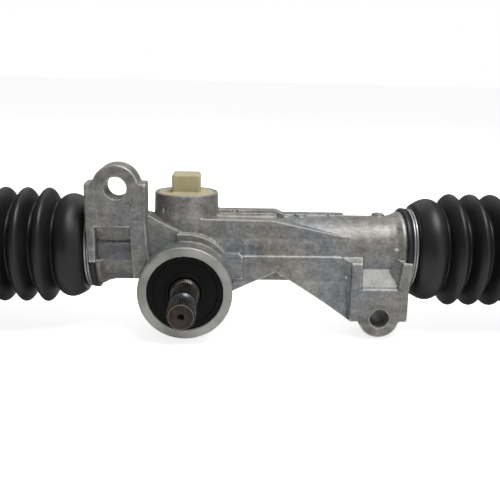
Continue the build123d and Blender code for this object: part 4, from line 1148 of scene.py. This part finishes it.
@dataclass(frozen=True)
class TieRod(SubAssembly):
    """A rod with its rolled thread."""

    side: Side
    thread_length: float = 52.0 * MM
    rod_length: float = 174.0 * MM
    overlap: float = 0.3 * MM
    run_out: float = 1.6 * MM
    pitch: float = 1.5 * MM
    crest: float = 7.0 * MM
    depth: float = 0.85 * MM
    tooth: tuple[Pair, ...] = ((0.0, 0.0), (0.08, 0.0), (0.44, 1.0), (0.56, 1.0), (0.92, 0.0), (1.0, 0.0))
    steps: int = 40
    crease: float = 35.0
    thread_crease: float = 30.0

    def build(self) -> list[Object]:
        word, sign = self.side.word, self.side.value
        start = LAYOUT.outwards(self.side, LAYOUT.ball_out + self.rod_length - self.thread_length)
        rod = copy_of(f"{word}_tie_rod", f"{word}_rod")
        cut = (start + sign * self.overlap, 0, 0)
        edit(rod, lambda: bpy.ops.mesh.bisect(plane_co=cut, plane_no=(sign, 0, 0), clear_outer=True,
                                              use_fill=True))
        smooth(rod, self.crease)
        thread = self.thread(start)
        for obj in (rod, thread):
            dress(obj, ZINC)
            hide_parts(f"{word}_tie_rod")
            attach(obj, f"{word}_tie_rod")
        return [rod, thread]

    def thread(self, start: float) -> Object:
        """Sweep one tooth's outline along a screw line.

        Args:
            start: x of the thread's inner end.

        Returns:
            The thread, with closed ends.
        """
        turns = int((self.thread_length - self.run_out) / self.pitch)
        root = self.crest - self.depth
        sign = self.side.value
        points = [(start + sign * far * self.pitch, 0.0, root + out * self.depth) for far, out in self.tooth]
        obj = line_of_points(f"{self.side.word}_rod_thread", points)
        modify(obj, "SCREW", axis="X", angle=math.tau * turns, screw_offset=sign * self.pitch * turns,
               steps=self.steps * turns, render_steps=self.steps * turns, use_merge_vertices=True,
               merge_threshold=WELD)
        edit(obj, lambda: bpy.ops.mesh.remove_doubles(threshold=WELD),
             lambda: bpy.ops.transform.translate(value=(0, LAYOUT.rack_y, LAYOUT.rack_z)),
             lambda: bpy.ops.mesh.normals_make_consistent(inside=False),
             lambda: bpy.ops.mesh.select_all(action="DESELECT"),
             lambda: bpy.ops.mesh.select_non_manifold(),
             lambda: bpy.ops.mesh.fill())
        smooth(obj, self.thread_crease)
        return obj


@dataclass(frozen=True)
class AdjusterPlug(SubAssembly):
    """The nylon plug that closes the guide tower, with its rounded square head."""

    voxel: float = 0.35 * MM
    relax: int = 2
    keep: float = 0.3
    crease: float = 50.0

    def build(self) -> list[Object]:
        obj = copy_of("adjuster_plug", "adjuster_plug_moulding")
        soften(obj, self.voxel, self.relax, self.keep)
        dress(obj, NYLON)
        smooth(obj, self.crease)
        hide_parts("adjuster_plug")
        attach(obj, "adjuster")
        return [obj]


# ------------------------ studio


@dataclass(frozen=True)
class Camera:
    """The camera, fitted to the photograph's view."""

    focal_pixels: float = 678.306
    frame_pixels: float = 500.0
    sensor: float = 36.0
    pitch: float = 0.2468
    yaw: float = 0.0462
    roll: float = -0.0240
    nearest: float = 10.0 * MM
    place: Point = (47.0875 * MM, -302.4035 * MM, 48.7289 * MM)

    def build(self) -> None:
        """Set the camera up as the scene's."""
        flat = math.cos(self.pitch)
        ahead = Vector((math.sin(self.yaw) * flat, math.cos(self.yaw) * flat, -math.sin(self.pitch)))
        level = Vector((math.cos(self.yaw), -math.sin(self.yaw), 0.0))
        below = ahead.cross(level)
        right = math.cos(self.roll) * level + math.sin(self.roll) * below
        down = -math.sin(self.roll) * level + math.cos(self.roll) * below
        bpy.ops.object.camera_add()
        camera = bpy.context.object
        camera.name = "camera"
        camera.data.sensor_width = self.sensor
        camera.data.lens = self.focal_pixels * self.sensor / self.frame_pixels
        camera.data.clip_start = self.nearest
        camera.matrix_world = Matrix((
            (right.x, -down.x, -ahead.x, self.place[0]),
            (right.y, -down.y, -ahead.y, self.place[1]),
            (right.z, -down.z, -ahead.z, self.place[2]),
            (0, 0, 0, 1)))
        bpy.context.scene.camera = camera


@dataclass(frozen=True)
class SoftLight:
    """A square area light aimed at the rack."""

    name: str
    place: Point
    size: float
    watts: float
    aim: Point = (0.06, 0.0, -0.03)

    def build(self) -> None:
        """Hang the light."""
        bpy.ops.object.light_add(type="AREA", location=self.place)
        light = bpy.context.object
        light.name = self.name
        light.data.size = self.size
        light.data.energy = self.watts
        light.rotation_euler = (Vector(self.aim) - Vector(self.place)).to_track_quat("-Z", "Y").to_euler()


@dataclass(frozen=True)
class Studio:
    """White surroundings, a pale floor under the rack and soft lights."""

    lights: tuple[SoftLight, ...] = (
        SoftLight("key", (0.30, -0.16, 0.78), 0.5, 6.8),
        SoftLight("fill", (0.50, -0.60, 0.20), 0.6, 0.7),
        SoftLight("back", (0.05, 0.60, 0.50), 0.7, 1.0),
    )
    world_strength: float = 0.17
    floor_size: float = 60.0
    floor_x: float = 0.06
    floor_fibres: Grain = Grain(300.0)
    floor_tones: Pair = (0.93, 0.95)
    floor_glow: float = 0.8
    floor_gap: float = 1.5 * MM

    def build(self) -> None:
        """Light the scene and lay the floor."""
        bpy.context.scene.view_settings.view_transform = "Standard"
        world = bpy.data.worlds.new("studio")
        bpy.context.scene.world = world
        world.use_nodes = True
        tree = world.node_tree
        seen = add_node(tree, "ShaderNodeLightPath").outputs["Is Camera Ray"]
        strength = add_node(tree, "ShaderNodeMapRange", {"To Min": self.world_strength, "To Max": 1.0},
                            {"Value": seen})
        tree.nodes["Background"].inputs["Color"].default_value = grey(1.0)
        tree.links.new(strength.outputs["Result"], tree.nodes["Background"].inputs["Strength"])
        for light in self.lights:
            light.build()
        self.floor()

    def floor(self) -> None:
        """A matt white floor that blends into the background."""
        low = CAD_BOX[0][2] - self.floor_gap
        bpy.ops.mesh.primitive_plane_add(size=self.floor_size, location=(self.floor_x, 0.0, low))
        floor = bpy.context.object
        floor.name = "floor"
        shader = Shader("white_paper", {"Roughness": 0.95, "Specular IOR Level": 0.1})
        stops = zip(Shader.NOISE_RANGE, (grey(tone) for tone in self.floor_tones))
        shader.colour(ramp(shader.tree, shader.noise(self.floor_fibres), list(stops)))
        shader.surface.inputs["Emission Color"].default_value = grey(1.0)
        seen = add_node(shader.tree, "ShaderNodeLightPath").outputs["Is Camera Ray"]
        glow = shader.span(seen, 0.0, 1.0, 0.0, self.floor_glow)
        shader.tree.links.new(glow, shader.surface.inputs["Emission Strength"])
        floor.data.materials.append(shader.material)


# ------------------------ main


def main() -> None:
    """Build every sub-assembly, then the studio."""
    groups: list[SubAssembly] = [BareNodes(), Casting(), AdjusterPlug()]
    for side in Side:
        groups += [Boot(side), WireClamp(side), TieRod(side)]
    for group in groups:
        group.report()
    Camera().build()
    Studio().build()


if __name__ == "__main__":
    main()
